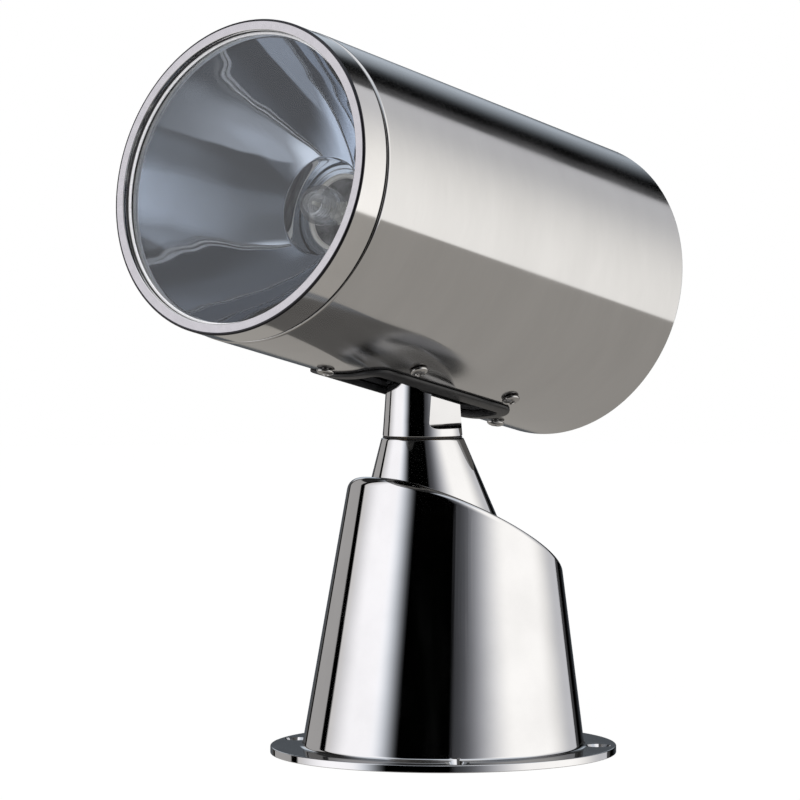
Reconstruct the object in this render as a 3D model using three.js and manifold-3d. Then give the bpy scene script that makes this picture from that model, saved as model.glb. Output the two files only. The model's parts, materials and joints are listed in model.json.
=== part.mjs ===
// Marine searchlight: a drum-shaped lamp that tilts on an upright stem, which pans on a leaning pedestal.
// Millimetres, +Z up. The origin is the centre of the flange's underside, and the pedestal faces -Y.
import * as THREE from "three";
import { mergeVertices } from "three/addons/utils/BufferGeometryUtils.js";
import Module from "manifold-3d";

const wasm = await Module();
wasm.setup();

// General sizes
const GAP = 0.3; // between a piece and what it touches
const OVERRUN = 6; // how far a cutting tool runs past what it cuts
const FINE = 40; // segments of a large turned piece
const MEDIUM = 24; // segments of a middling one
const SMALL_SIDES = 16; // segments of a small one
const COARSE = 12; // segments of a hole, an axle or a column
const SCREW_SIDES = 8;

// Pose of the model at rest
const PAN_REST = THREE.MathUtils.degToRad(13);
const TILT_REST = THREE.MathUtils.degToRad(12.23);

// Pedestal casting
const FLANGE_WIDTH = 19.8; // beyond the foot of the body
const FLANGE_THICKNESS = 4.6;
const FLANGE_EDGE = 0.6;
const BODY_FOOT_RADIUS = 87.7;
const BODY_TAPER_SHARE = 0.1508; // radius lost for each unit of height
const BODY_LEAN_SHARE = 0.0348; // backward lean of the body's axis
const BODY_FOOT_FILLET = 2;
const TOP_HEIGHT = 146.1; // height of the slanted top over the origin
const TOP_SLOPE_SHARE = 0.527; // fall of the slanted top towards the rear
const SHOULDER_FILLET = 6;
const SHOULDER_ROOM_SHARE = 0.85; // of the flat between shoulder and neck
const NECK_FOOT_ROOM_SHARE = 0.13; // of that same flat
const STEM_FORWARD = 16; // stem axis ahead of the origin
const NECK_HEIGHT = 195.7;
const NECK_TOP_RADIUS = 25.4;
const NECK_TAPER_SHARE = 0.34;
const NECK_LEAN_SHARE = 0.109;
const NECK_FOOT_FILLET = 2.5;
const CASTING_WALL = 5;
const HOLE_MARGIN = 11.1; // from the flange's edge to the centre of a hole
const HOLE_RADIUS = 4.2;
const COUNTERSINK_RADIUS = 7.9;
const HOLE_ANGLES = [-136, -56, 56, 136].map(THREE.MathUtils.degToRad);

// Bottom cover, its seal and screws
const COVER_THICKNESS = 2.6;
const COVER_SEAT = 3; // width of the ledge that carries the seal
const COVER_SEAL_THICKNESS = 1.2;
const COVER_SCREW_MARGIN = 8.8; // from the cover's edge to the centre of a screw
const COVER_SCREW_ANGLES = [45, 135, 225, 315].map(THREE.MathUtils.degToRad);
const COVER_BOSS_RADIUS = 5;
const COVER_BOSS_HEIGHT = 14;
const SMALL_SCREW_RADIUS = 2;
const SMALL_SCREW_LENGTH = 10;
const SMALL_HEAD_RADIUS = 3.6;
const SMALL_HEAD_HEIGHT = 2.2;
const GLAND_X = -46;
const GLAND_Y = 22;
const GLAND_RADIUS = 8;
const GLAND_FLANGE = 3.5;
const GLAND_FLANGE_THICKNESS = 2;
const GLAND_NOSE_RADIUS = 5;
const GLAND_NOSE_HEIGHT = 7;

// Chassis plate inside the pedestal
const PLATE_HEIGHT = 62;
const PLATE_THICKNESS = 4;
const PLATE_MARGIN = 0.8;
const PLATE_WINDOW_RADIUS = 14;
const PLATE_WINDOW_X = 42;
const PLATE_WINDOW_Y = 24;
const COLUMN_RADIUS = 6;
const COLUMN_MARGIN = 5.4; // from the casting's wall to the centre of a column
const COLUMN_ANGLES = [90, 210, 330].map(THREE.MathUtils.degToRad);

// Pan shaft, its bushes, gear, slip washer and nut
const SHAFT_RADIUS = 11;
const SHAFT_BORE = 7.5;
const SHAFT_BOTTOM = 36;
const SHAFT_SOCKET_DEPTH = 20;
const UPPER_BUSH_RADIUS = 16.7;
const UPPER_BUSH_LENGTH = 18;
const UPPER_BUSH_FLANGE = 3;
const BEARING_RECESS = 1.5;
const LOWER_BUSH_RADIUS = 14;
const LOWER_BUSH_FLANGE = 3.7;
const LOWER_BUSH_RISE = 1.5;
const BUSH_FLANGE_THICKNESS = 2;
const SEAL_LINE = 1.3; // open line between the neck and the stem
const SEAL_WIDTH = 3;
const SEAL_INSET = 0.8;
const GEAR_MODULE = 1.5;
const PAN_GEAR_TEETH = 48;
const PINION_TEETH = 12;
const PAN_GEAR_THICKNESS = 8;
const PAN_GEAR_BOTTOM = 46;
const PAN_HUB_RADIUS = 16;
const WASHER_RADIUS = 20;
const WASHER_THICKNESS = 1;
const WASHER_CONE = 1.2;
const NUT_RADIUS = 18;
const NUT_THICKNESS = 6;

// Gear teeth
const PRESSURE_ANGLE = THREE.MathUtils.degToRad(20);
const WHEEL_ADDENDUM_SHARE = 0.75; // of the module; short, to clear the pinion's roots
const PINION_ADDENDUM_SHARE = 0.95;
const DEDENDUM_SHARE = 1.25;
const BACKLASH_SHARE = 0.12; // of a tooth's thickness
const MESH_CLEARANCE = 0.25; // added to the distance between two meshing gears

// Gearmotors
const PAN_GEARBOX_RADIUS = 18.5;
const PAN_GEARBOX_LENGTH = 22;
const PAN_CAN_RADIUS = 14;
const PAN_CAN_LENGTH = 24;
const TILT_GEARBOX_RADIUS = 16;
const TILT_GEARBOX_LENGTH = 18;
const TILT_CAN_RADIUS = 12;
const TILT_CAN_LENGTH = 24;
const MOTOR_SHAFT_RADIUS = 3;
const MOTOR_SHAFT_DEPTH = 10;

// Stem
const STEM_FOOT_RADIUS = 24.65;
const STEM_TAPER_SHARE = 0.0713;
const STEM_EDGE = 0.6;
const FLAT_HALF_WIDTH = 18;
const FLAT_LEDGE_RISE = 5; // from the foot of the stem to its flats
const FLAT_CORNER = 4;
const HEAD_CLEARANCE = 25.4; // from the top of the neck to a level drum
const STEM_BORE_MARGIN = 10; // metal between the cable bore and the axle
const WINDOW_RADIUS = 5.5;
const WINDOW_DROP = 26; // from the axle down to the cable window

// Tilt axle and what sits on it
const AXLE_RADIUS = 6;
const AXLE_OVERHANG = 3;
const TILT_GEAR_TEETH = 40;
const TILT_GEAR_THICKNESS = 6;
const TILT_BUSH_RADIUS = 9;
const TILT_BUSH_FLANGE = 2.5;
const TILT_BUSH_FLANGE_THICKNESS = 1.8;
const SPACER_WALL = 3;
const CLIP_WIDTH = 2.5;
const CLIP_THICKNESS = 1.2;

// Drum
const AXLE_DEPTH = 47.2; // tilt axle above the underside of the drum
const DRUM_RADIUS = 95.2;
const DRUM_WALL = 2;
const DRUM_REAR = -136.1; // distances along the drum count from the axle, forward
const DRUM_FRONT = 166.2;
const DRUM_EDGE = 1.2;
const REAR_RECESS = 1;
const REAR_THICKNESS = 2;
const REAR_SKIRT = 12;
const REAR_CORNER = 3;
const REAR_DISH = 2.5;
const REAR_DISH_MARGIN = 25.2; // from the drum's outside to the dish
const REAR_SEAL_WIDTH = 4;
const REAR_SEAL_THICKNESS = 1.5;

// Bezel and what it clamps
const BEZEL_SET_BACK = 0.5; // from the drum's outside to the bezel's
const BEZEL_WALL = 2.2;
const BEZEL_REAR = 167.4;
const BEZEL_FRONT = 188.6;
const BEZEL_LIP_THICKNESS = 2.6;
const BEZEL_RIM_WIDTH = 6.6;
const BEZEL_EDGE = 0.9;
const BEZEL_REAR_EDGE = 0.6;
const GASKET_LIP_COVER = 0.2; // how far the bezel's rim covers the gasket's lip
const GASKET_FRONT_LIP = 2.8;
const GASKET_REAR_LIP = 1.7;
const GASKET_WALL = 1.5;
const GLASS_THICKNESS = 4.3;
const GLASS_EDGE = 0.6;
const CARRIER_WIDTH = 5.7; // from the drum's bore to its own
const CARRIER_LENGTH = 22;
const CARRIER_STEP = 0.7;
const REFLECTOR_CLEARANCE = 1.5; // from the carrier's bore to the reflector's rim
const REFLECTOR_FLANGE_CLEARANCE = 1; // from the bezel's bore to the reflector's flange
const REFLECTOR_WALL = 1.2;
const REFLECTOR_APEX = 98;
const REFLECTOR_NECK_RADIUS = 29.6; // of the short neck behind the bowl
const REFLECTOR_SEAT = 90.4; // the lip at the end of the neck, which carries the collar
const REFLECTOR_HOLE = 24;
const REFLECTOR_STEPS = 5;

// Lamp
const COLLAR_RADIUS = 29;
const COLLAR_STEP_WIDTH = 2.6;
const COLLAR_STEP_HEIGHT = 1.3;
const COLLAR_STEPS = 3;
const COLLAR_RIM_THICKNESS = 1.4;
const COLLAR_WALL = 3;
const COLLAR_SPIGOT_DEPTH = 12;
const SOCKET_RADIUS = 11;
const SOCKET_NOSE_RADIUS = 7.2;
const SOCKET_LENGTH = 25;
const BULB_RADIUS = 12;
const BULB_BASE_RADIUS = 6.5;
const BULB_BASE_LENGTH = 4;
const BULB_LENGTH = 34;

// Slot of the drum, its gasket and the cradle inside
const SLOT_CENTRE = 1.7;
const SLOT_HALF_LENGTH = 62.7; // clear opening inside the gasket
const SLOT_HALF_WIDTH = 22;
const SLOT_CORNER = 5;
const GASKET_PLUG = 3.7; // width of the gasket's part inside the drum's wall
const GASKET_RIM = 8; // width of its rim on the drum
const GASKET_PROUD = 2;
const CRADLE_WALL = 3;
const CRADLE_MARGIN = 0.9; // its opening beyond the gasket's
const CRADLE_HALF_LENGTH = 95;
const CRADLE_HALF_WIDTH = 45;
const CRADLE_CORNER = 12;
const CHEEK_INNER = 27;
const CHEEK_THICKNESS = 3;
const CHEEK_EYE = 15;
const CHEEK_FOOT_HALF = 42;

// Screws of the drum: [forward from the axle, round the drum's underside]
const HEAD_SCREW_RADIUS = 2.5;
const HEAD_SCREW_LENGTH = 9;
const HEAD_SCREW_HEAD = 5.5;
const HEAD_SCREW_DOME = 3.2;
const FRONT_SCREW = 85.4;
const REAR_SCREW = -86.6;
const FRONT_SIDE_SCREW = 45.4;
const REAR_SIDE_SCREW = -48;
const SIDE_SCREW_ARC = 40;

// Sizes that follow
const STEM_BOTTOM = NECK_HEIGHT + SEAL_LINE;
const TILT_HEIGHT = NECK_HEIGHT + HEAD_CLEARANCE + AXLE_DEPTH;
const AXIS_OVER_PIVOT = DRUM_RADIUS - AXLE_DEPTH;
const FLAT_LEDGE_HEIGHT = STEM_BOTTOM + FLAT_LEDGE_RISE;
const BODY_SLANT = Math.hypot(1, BODY_TAPER_SHARE);
const NECK_SLANT = Math.hypot(1, NECK_TAPER_SHARE);
const TOP_SLANT = Math.hypot(1, TOP_SLOPE_SHARE);
const FLANGE_RADIUS = BODY_FOOT_RADIUS + FLANGE_WIDTH;
const HOLE_CIRCLE_RADIUS = FLANGE_RADIUS - HOLE_MARGIN;
const COVER_LEDGE = COVER_THICKNESS + COVER_SEAL_THICKNESS + 2 * GAP;
const BODY_INSET = CASTING_WALL * BODY_SLANT;
const NECK_INSET = CASTING_WALL * NECK_SLANT;
const CAVITY_FOOT_RADIUS = BODY_FOOT_RADIUS - BODY_INSET;
const UPPER_BUSH_FOOT = NECK_HEIGHT - UPPER_BUSH_LENGTH;
const RECESS_RADIUS = CAVITY_FOOT_RADIUS + COVER_SEAT;
const COVER_RADIUS = RECESS_RADIUS - GAP;
const COVER_SCREW_CIRCLE = COVER_RADIUS - COVER_SCREW_MARGIN;
const PLATE_TOP = PLATE_HEIGHT + PLATE_THICKNESS;
const CAVITY_LOSS = BODY_TAPER_SHARE * (PLATE_TOP - FLANGE_THICKNESS);
const COLUMN_CIRCLE = CAVITY_FOOT_RADIUS - CAVITY_LOSS - COLUMN_MARGIN;
const PLATE_CENTRE = BODY_LEAN_SHARE * (PLATE_HEIGHT - FLANGE_THICKNESS);
const SHAFT_CLEAR = SHAFT_RADIUS + GAP;
const PINION_PITCH = (GEAR_MODULE * PINION_TEETH) / 2;
const PAN_CENTRES = (GEAR_MODULE * PAN_GEAR_TEETH) / 2 + PINION_PITCH + MESH_CLEARANCE;
const TILT_CENTRES = (GEAR_MODULE * TILT_GEAR_TEETH) / 2 + PINION_PITCH + MESH_CLEARANCE;
const TILT_MOTOR_ANGLE = THREE.MathUtils.degToRad(45); // above the rearward level
const AXLE_CLEAR = AXLE_RADIUS + GAP;
const CHEEK_OUTER = CHEEK_INNER + CHEEK_THICKNESS;
const AXLE_HALF = CHEEK_OUTER + AXLE_OVERHANG;
const TILT_GEAR_START = FLAT_HALF_WIDTH + GAP;
const SHAFT_HOLE = MOTOR_SHAFT_RADIUS + GAP;
const DRUM_BORE = DRUM_RADIUS - DRUM_WALL;
const REAR_DISH_RADIUS = DRUM_RADIUS - REAR_DISH_MARGIN;
const BEZEL_RADIUS = DRUM_RADIUS - BEZEL_SET_BACK;
const BEZEL_BORE = BEZEL_RADIUS - BEZEL_WALL;
const BEZEL_OPENING = BEZEL_RADIUS - BEZEL_RIM_WIDTH;
const GASKET_LIP_RADIUS = BEZEL_OPENING + GASKET_LIP_COVER;
const CARRIER_BORE = DRUM_BORE - CARRIER_WIDTH;
const REFLECTOR_RIM_RADIUS = CARRIER_BORE - REFLECTOR_CLEARANCE;
const REFLECTOR_FLANGE_RADIUS = BEZEL_BORE - REFLECTOR_FLANGE_CLEARANCE;
const LIP_REAR = BEZEL_FRONT - BEZEL_LIP_THICKNESS;
const GASKET_RADIUS = BEZEL_BORE - GAP;
const GLASS_RADIUS = GASKET_RADIUS - GASKET_WALL - GAP;
const GLASS_FRONT = LIP_REAR - GASKET_FRONT_LIP - 2 * GAP;
const GLASS_REAR = GLASS_FRONT - GLASS_THICKNESS;
const GASKET_REAR = GLASS_REAR - GAP - GASKET_REAR_LIP;
const RIM_FRONT = GASKET_REAR - GAP; // front face of the reflector's flange
const CARRIER_FRONT = RIM_FRONT - REFLECTOR_WALL - GAP;
const FOCAL_LENGTH = REFLECTOR_RIM_RADIUS ** 2 / (4 * (RIM_FRONT - REFLECTOR_APEX));
const CRADLE_RADIUS = DRUM_BORE - GAP;

const AXIS_X = new THREE.Vector3(1, 0, 0);
const AXIS_Y = new THREE.Vector3(0, 1, 0);
const AXIS_Z = new THREE.Vector3(0, 0, 1);
// Turns a shape drawn in the plane of Y and Z so that it extends along X.
const ACROSS = new THREE.Matrix4().makeBasis(AXIS_Y, AXIS_Z, AXIS_X);
// Turns a plan of the drum's underside so that it extends downwards, in the frame of the drum's axis.
const DOWNWARD = new THREE.Matrix4().makeBasis(AXIS_X, AXIS_Z, AXIS_Y.clone().negate());

// Solids

function at(x, y, z) {
  return new THREE.Matrix4().makeTranslation(x, y, z);
}

// A closed geometry as a solid that can be joined and cut.
function solidOf(geometry, matrix = new THREE.Matrix4()) {
  const bare = geometry.clone();
  bare.deleteAttribute("normal");
  bare.deleteAttribute("uv");
  bare.applyMatrix4(matrix);
  const merged = mergeVertices(bare);
  const corners = merged.index.array;
  const triangles = [];
  for (let i = 0; i < corners.length; i += 3) {
    const [a, b, c] = [corners[i], corners[i + 1], corners[i + 2]];
    if (a !== b && b !== c && c !== a) triangles.push(a, b, c);
  }
  return new wasm.Manifold(
    new wasm.Mesh({
      numProp: 3,
      vertProperties: merged.getAttribute("position").array,
      triVerts: new Uint32Array(triangles),
    }),
  );
}

function geometryOf(solid) {
  const mesh = solid.getMesh();
  const geometry = new THREE.BufferGeometry();
  geometry.setAttribute("position", new THREE.BufferAttribute(mesh.vertProperties, 3));
  geometry.setIndex(new THREE.BufferAttribute(mesh.triVerts, 1));
  geometry.computeVertexNormals();
  return geometry;
}

// A body turned about Z, from the [radius, height] corners of its section, in order.
function turned(section, segments, matrix) {
  let area = 0;
  section.forEach(([radius, height], i) => {
    const [nextRadius, nextHeight] = section[(i + 1) % section.length];
    area += radius * nextHeight - nextRadius * height;
  });
  const hollow = section.every(([radius]) => radius > 0);
  const outline = hollow ? [...section, section[0]] : [...section];
  if (area < 0) outline.reverse();
  const points = outline.map(([radius, height]) => new THREE.Vector2(radius, height));
  const lathe = new THREE.LatheGeometry(points, segments);
  lathe.rotateX(Math.PI / 2);
  return solidOf(lathe, matrix);
}

function rod(radius, from, to, segments, matrix) {
  return turned([[0, from], [radius, from], [radius, to], [0, to]], segments, matrix);
}

function tube(bore, radius, from, to, segments, matrix) {
  return turned([[bore, from], [radius, from], [radius, to], [bore, to]], segments, matrix);
}

function extruded(shape, depth, matrix, curveSegments = 4) {
  const options = { depth, bevelEnabled: false, curveSegments };
  return solidOf(new THREE.ExtrudeGeometry(shape, options), matrix);
}

// A body through rings of points, from the lowest ring to the highest.
function lofted(rings) {
  const count = rings[0].length;
  const last = (rings.length - 1) * count;
  const indices = [];
  for (let level = 0; level < last; level += count) {
    for (let turn = 0; turn < count; turn += 1) {
      const next = (turn + 1) % count;
      indices.push(level + turn, level + next, level + count + next);
      indices.push(level + turn, level + count + next, level + count + turn);
    }
  }
  for (let turn = 1; turn + 1 < count; turn += 1) {
    indices.push(0, turn + 1, turn);
    indices.push(last, last + turn, last + turn + 1);
  }
  const geometry = new THREE.BufferGeometry().setFromPoints(rings.flat());
  geometry.setIndex(indices);
  return solidOf(geometry);
}

// Points of an arc that rounds the corner between two straight lines in space.
function roundedCorner(before, corner, after, radius, room, steps) {
  const back = before.clone().sub(corner).normalize();
  const ahead = after.clone().sub(corner).normalize();
  const half = back.angleTo(ahead) / 2;
  const reach = Math.min(radius / Math.tan(half), room);
  const centre = back.clone().add(ahead).normalize().multiplyScalar(reach / Math.cos(half)).add(corner);
  const start = corner.clone().addScaledVector(back, reach).sub(centre);
  const end = corner.clone().addScaledVector(ahead, reach).sub(centre);
  const sweep = start.angleTo(end);
  const points = [];
  for (let step = 0; step <= steps; step += 1) {
    const share = step / steps;
    const fromStart = Math.sin((1 - share) * sweep) / Math.sin(sweep);
    const fromEnd = Math.sin(share * sweep) / Math.sin(sweep);
    points.push(centre.clone().addScaledVector(start, fromStart).addScaledVector(end, fromEnd));
  }
  return points;
}

// Quarter of a circle in a section, as [radius, height] corners.
function quarter(centreRadius, centreHeight, radius, fromDegrees, steps = 3) {
  const points = [];
  for (let step = 0; step <= steps; step += 1) {
    const angle = THREE.MathUtils.degToRad(fromDegrees + (90 * step) / steps);
    const across = centreRadius + radius * Math.cos(angle);
    points.push([Math.max(0, across), centreHeight + radius * Math.sin(angle)]);
  }
  return points;
}

function roundedRectangle(halfWidth, halfLength, corner, centre = 0) {
  const shape = new THREE.Shape();
  const low = centre - halfLength;
  const high = centre + halfLength;
  shape.moveTo(halfWidth, low + corner);
  shape.lineTo(halfWidth, high - corner);
  shape.absarc(halfWidth - corner, high - corner, corner, 0, Math.PI / 2, false);
  shape.lineTo(corner - halfWidth, high);
  shape.absarc(corner - halfWidth, high - corner, corner, Math.PI / 2, Math.PI, false);
  shape.lineTo(-halfWidth, low + corner);
  shape.absarc(corner - halfWidth, low + corner, corner, Math.PI, 1.5 * Math.PI, false);
  shape.lineTo(halfWidth - corner, low);
  shape.absarc(halfWidth - corner, low + corner, corner, 1.5 * Math.PI, 2 * Math.PI, false);
  return shape;
}

// A closed outline through [radius, angle] points.
function outlineOf(points) {
  return new THREE.Shape(
    points.map(([radius, angle]) => new THREE.Vector2(radius * Math.cos(angle), radius * Math.sin(angle))),
  );
}

// Outline of a spur gear with involute flanks, a tooth centred on the shape's X axis.
function gearShape(teeth, addendumShare, flankShares) {
  const pitchRadius = (GEAR_MODULE * teeth) / 2;
  const baseRadius = pitchRadius * Math.cos(PRESSURE_ANGLE);
  const rootRadius = pitchRadius - DEDENDUM_SHARE * GEAR_MODULE;
  const tipRadius = pitchRadius + addendumShare * GEAR_MODULE;
  const involute = (angle) => Math.tan(angle) - angle;
  const halfAngle = (radius) => {
    const pressure = Math.acos(Math.min(1, baseRadius / radius));
    const atPitch = ((1 - BACKLASH_SHARE) * Math.PI) / (2 * teeth);
    return atPitch + involute(PRESSURE_ANGLE) - involute(pressure);
  };
  const radii = flankShares.map((share) => THREE.MathUtils.lerp(rootRadius, tipRadius, share));
  const points = [];
  for (let tooth = 0; tooth < teeth; tooth += 1) {
    const centre = (2 * Math.PI * tooth) / teeth;
    const rising = radii.map((radius) => [radius, centre - halfAngle(radius)]);
    const falling = radii.map((radius) => [radius, centre + halfAngle(radius)]).reverse();
    points.push(...rising, ...falling);
  }
  return outlineOf(points);
}

const WHEEL_FLANK_SHARES = [0, 1];
const PINION_FLANK_SHARES = [0, 0.6, 1];

// Scene graph

const searchlight = new THREE.Group();
const neckAxis = new THREE.Group();
neckAxis.position.set(0, -STEM_FORWARD, 0);
const pan = new THREE.Group();
pan.rotation.z = PAN_REST;
const tiltAxis = new THREE.Group();
tiltAxis.position.set(0, 0, TILT_HEIGHT);
const axleLine = new THREE.Group();
axleLine.setRotationFromMatrix(ACROSS);
const tilt = new THREE.Group();
tilt.rotation.x = -TILT_REST;
// In the drum's own frame, Z runs forward along its axis and Y points up.
const drum = new THREE.Group();
drum.position.set(0, 0, AXIS_OVER_PIVOT);
drum.rotation.x = Math.PI / 2;
const bearingLine = new THREE.Group();
bearingLine.position.set(0, -AXIS_OVER_PIVOT, 0);
bearingLine.setRotationFromMatrix(ACROSS);
searchlight.add(neckAxis);
neckAxis.add(pan);
pan.add(tiltAxis);
tiltAxis.add(axleLine, tilt);
tilt.add(drum);
drum.add(bearingLine);

const FINISHES = {
  polished: { color: 0xc9cacb, roughness: 0.08, metalness: 1 },
  brushed: { color: 0xb4b2ae, roughness: 0.3, metalness: 1 },
  mirror: { color: 0xd9dde2, roughness: 0.03, metalness: 1 },
  zinc: { color: 0x9a9da1, roughness: 0.45, metalness: 1 },
  bronze: { color: 0xa97b45, roughness: 0.4, metalness: 1 },
  blackened: { color: 0x17181a, roughness: 0.5, metalness: 0.6 },
  rubber: { color: 0x0e0e0f, roughness: 0.8, metalness: 0 },
  acetal: { color: 0xe4e1d8, roughness: 0.5, metalness: 0 },
  ceramic: { color: 0xdcd7cb, roughness: 0.6, metalness: 0 },
  glass: { color: 0xeef4f6, roughness: 0.02, metalness: 0, transparent: true, opacity: 0.3 },
};

function add(parent, name, solid, finish) {
  const mesh = new THREE.Mesh(geometryOf(solid), new THREE.MeshStandardMaterial(FINISHES[finish]));
  mesh.name = name;
  parent.add(mesh);
  return mesh;
}

// Pedestal casting

function around(point) {
  return Array.from({ length: FINE }, (unused, turn) => point((2 * Math.PI * turn) / FINE));
}

function bodyPoint(angle, height, inset = 0) {
  const rise = height - FLANGE_THICKNESS;
  const radius = BODY_FOOT_RADIUS - BODY_TAPER_SHARE * rise - inset;
  const y = BODY_LEAN_SHARE * rise + radius * Math.sin(angle);
  return new THREE.Vector3(radius * Math.cos(angle), y, height);
}

function neckPoint(angle, height, inset = 0) {
  const drop = NECK_HEIGHT - height;
  const radius = NECK_TOP_RADIUS + NECK_TAPER_SHARE * drop - inset;
  const y = NECK_LEAN_SHARE * drop - STEM_FORWARD + radius * Math.sin(angle);
  return new THREE.Vector3(radius * Math.cos(angle), y, height);
}

// Where the line of a cone at one angle meets the slanted top, lowered by a depth.
function onTop(line, angle, inset, depth) {
  const low = line(angle, 0, inset);
  const high = line(angle, NECK_HEIGHT, inset);
  const over = (point) => point.z + TOP_SLOPE_SHARE * point.y - TOP_HEIGHT + depth;
  return low.clone().lerp(high, over(low) / (over(low) - over(high)));
}

function pedestalOutside() {
  const shoulders = around((angle) => {
    const rim = onTop(bodyPoint, angle, 0, 0);
    const foot = onTop(neckPoint, angle, 0, 0);
    const room = SHOULDER_ROOM_SHARE * rim.distanceTo(foot);
    return roundedCorner(bodyPoint(angle, 0), rim, foot, SHOULDER_FILLET, room, 3);
  });
  const feet = around((angle) => {
    const rim = onTop(bodyPoint, angle, 0, 0);
    const foot = onTop(neckPoint, angle, 0, 0);
    const room = NECK_FOOT_ROOM_SHARE * rim.distanceTo(foot);
    return roundedCorner(rim, foot, neckPoint(angle, NECK_HEIGHT), NECK_FOOT_FILLET, room, 2);
  });
  const disc = (radius, height) =>
    around((angle) => new THREE.Vector3(radius * Math.cos(angle), radius * Math.sin(angle), height));
  const filletTop = FLANGE_THICKNESS + BODY_FOOT_FILLET;
  const rings = [
    disc(FLANGE_RADIUS, 0),
    disc(FLANGE_RADIUS, FLANGE_THICKNESS - FLANGE_EDGE),
    disc(FLANGE_RADIUS - FLANGE_EDGE, FLANGE_THICKNESS),
    disc(BODY_FOOT_RADIUS + BODY_FOOT_FILLET, FLANGE_THICKNESS),
    around((angle) => bodyPoint(angle, filletTop, 0)),
  ];
  for (let step = 0; step < shoulders[0].length; step += 1) rings.push(shoulders.map((arc) => arc[step]));
  for (let step = 0; step < feet[0].length; step += 1) rings.push(feet.map((arc) => arc[step]));
  rings.push(around((angle) => neckPoint(angle, NECK_HEIGHT - FLANGE_EDGE)));
  rings.push(around((angle) => neckPoint(angle, NECK_HEIGHT, FLANGE_EDGE)));
  return lofted(rings);
}

function pedestalCavity() {
  const depth = CASTING_WALL * TOP_SLANT;
  return lofted([
    around((angle) => bodyPoint(angle, COVER_THICKNESS, BODY_INSET)),
    around((angle) => onTop(bodyPoint, angle, BODY_INSET, depth)),
    around((angle) => onTop(neckPoint, angle, NECK_INSET, depth)),
    around((angle) => neckPoint(angle, UPPER_BUSH_FOOT, NECK_INSET)),
  ]);
}

function onCircle(radius, angle, height = 0, centreY = 0) {
  return at(radius * Math.cos(angle), centreY + radius * Math.sin(angle), height);
}

function baseHousing() {
  const outside = pedestalOutside();
  let housing = outside.subtract(pedestalCavity());
  for (const angle of COLUMN_ANGLES) {
    const place = onCircle(COLUMN_CIRCLE, angle, 0, PLATE_CENTRE);
    const column = rod(COLUMN_RADIUS, PLATE_TOP + GAP, NECK_HEIGHT, COARSE, place);
    housing = housing.add(column.intersect(outside));
    const depth = PLATE_TOP + SMALL_SCREW_LENGTH;
    housing = housing.subtract(rod(SMALL_SCREW_RADIUS + GAP, 0, depth, SCREW_SIDES, place));
  }
  housing = housing.subtract(rod(RECESS_RADIUS, -OVERRUN, COVER_LEDGE, FINE));
  for (const angle of COVER_SCREW_ANGLES) {
    const place = onCircle(COVER_SCREW_CIRCLE, angle);
    const foot = COVER_THICKNESS + GAP;
    const boss = rod(COVER_BOSS_RADIUS, foot, foot + COVER_BOSS_HEIGHT, COARSE, place);
    housing = housing.add(boss);
    const depth = SMALL_SCREW_LENGTH + 2 * GAP;
    housing = housing.subtract(rod(SMALL_SCREW_RADIUS + GAP, 0, depth + GAP, SCREW_SIDES, place));
  }
  const bore = at(0, -STEM_FORWARD, 0);
  const holeTop = NECK_HEIGHT + OVERRUN;
  const bushHole = rod(UPPER_BUSH_RADIUS + GAP, UPPER_BUSH_FOOT - OVERRUN, holeTop, MEDIUM, bore);
  const flangeRadius = UPPER_BUSH_RADIUS + UPPER_BUSH_FLANGE + GAP;
  const recess = rod(flangeRadius, NECK_HEIGHT - BEARING_RECESS, holeTop, MEDIUM, bore);
  housing = housing.subtract(bushHole).subtract(recess);
  const slope = COUNTERSINK_RADIUS - HOLE_RADIUS;
  for (const angle of HOLE_ANGLES) {
    const place = onCircle(HOLE_CIRCLE_RADIUS, angle - Math.PI / 2);
    const hole = turned(
      [
        [0, -OVERRUN],
        [HOLE_RADIUS, -OVERRUN],
        [HOLE_RADIUS, FLANGE_THICKNESS - slope],
        [COUNTERSINK_RADIUS, FLANGE_THICKNESS],
        [COUNTERSINK_RADIUS, FLANGE_THICKNESS + GAP],
        [0, FLANGE_THICKNESS + GAP],
      ],
      COARSE,
      place,
    );
    housing = housing.subtract(hole);
  }
  return housing;
}
add(searchlight, "base_housing", baseHousing(), "polished");

// Bottom cover, seal, gland and screws

function countersunkScrew(headRadius, radius, length) {
  const coneHeight = headRadius - radius;
  return [
    [0, GAP],
    [headRadius, GAP],
    [radius, GAP + coneHeight],
    [radius, length],
    [0, length],
  ];
}

function baseCover() {
  const glandPlace = at(GLAND_X, GLAND_Y, 0);
  const glandHole = rod(GLAND_RADIUS + GAP, -OVERRUN, COVER_THICKNESS + OVERRUN, COARSE, glandPlace);
  let cover = rod(COVER_RADIUS, 0, COVER_THICKNESS, FINE).subtract(glandHole);
  for (const angle of COVER_SCREW_ANGLES) {
    const place = onCircle(COVER_SCREW_CIRCLE, angle);
    const wide = SMALL_HEAD_RADIUS + GAP;
    const narrow = SMALL_SCREW_RADIUS + GAP;
    const depth = wide - narrow + GAP;
    const hole = [
      [0, -OVERRUN],
      [wide, -OVERRUN],
      [wide, GAP],
      [narrow, depth],
      [narrow, COVER_THICKNESS + OVERRUN],
      [0, COVER_THICKNESS + OVERRUN],
    ];
    cover = cover.subtract(turned(hole, SCREW_SIDES, place));
  }
  return cover;
}
add(searchlight, "base_cover", baseCover(), "zinc");

const sealFoot = COVER_THICKNESS + GAP;
const sealBore = CAVITY_FOOT_RADIUS + GAP;
add(
  searchlight,
  "base_seal",
  tube(sealBore, COVER_RADIUS, sealFoot, sealFoot + COVER_SEAL_THICKNESS, MEDIUM),
  "rubber",
);

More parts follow.
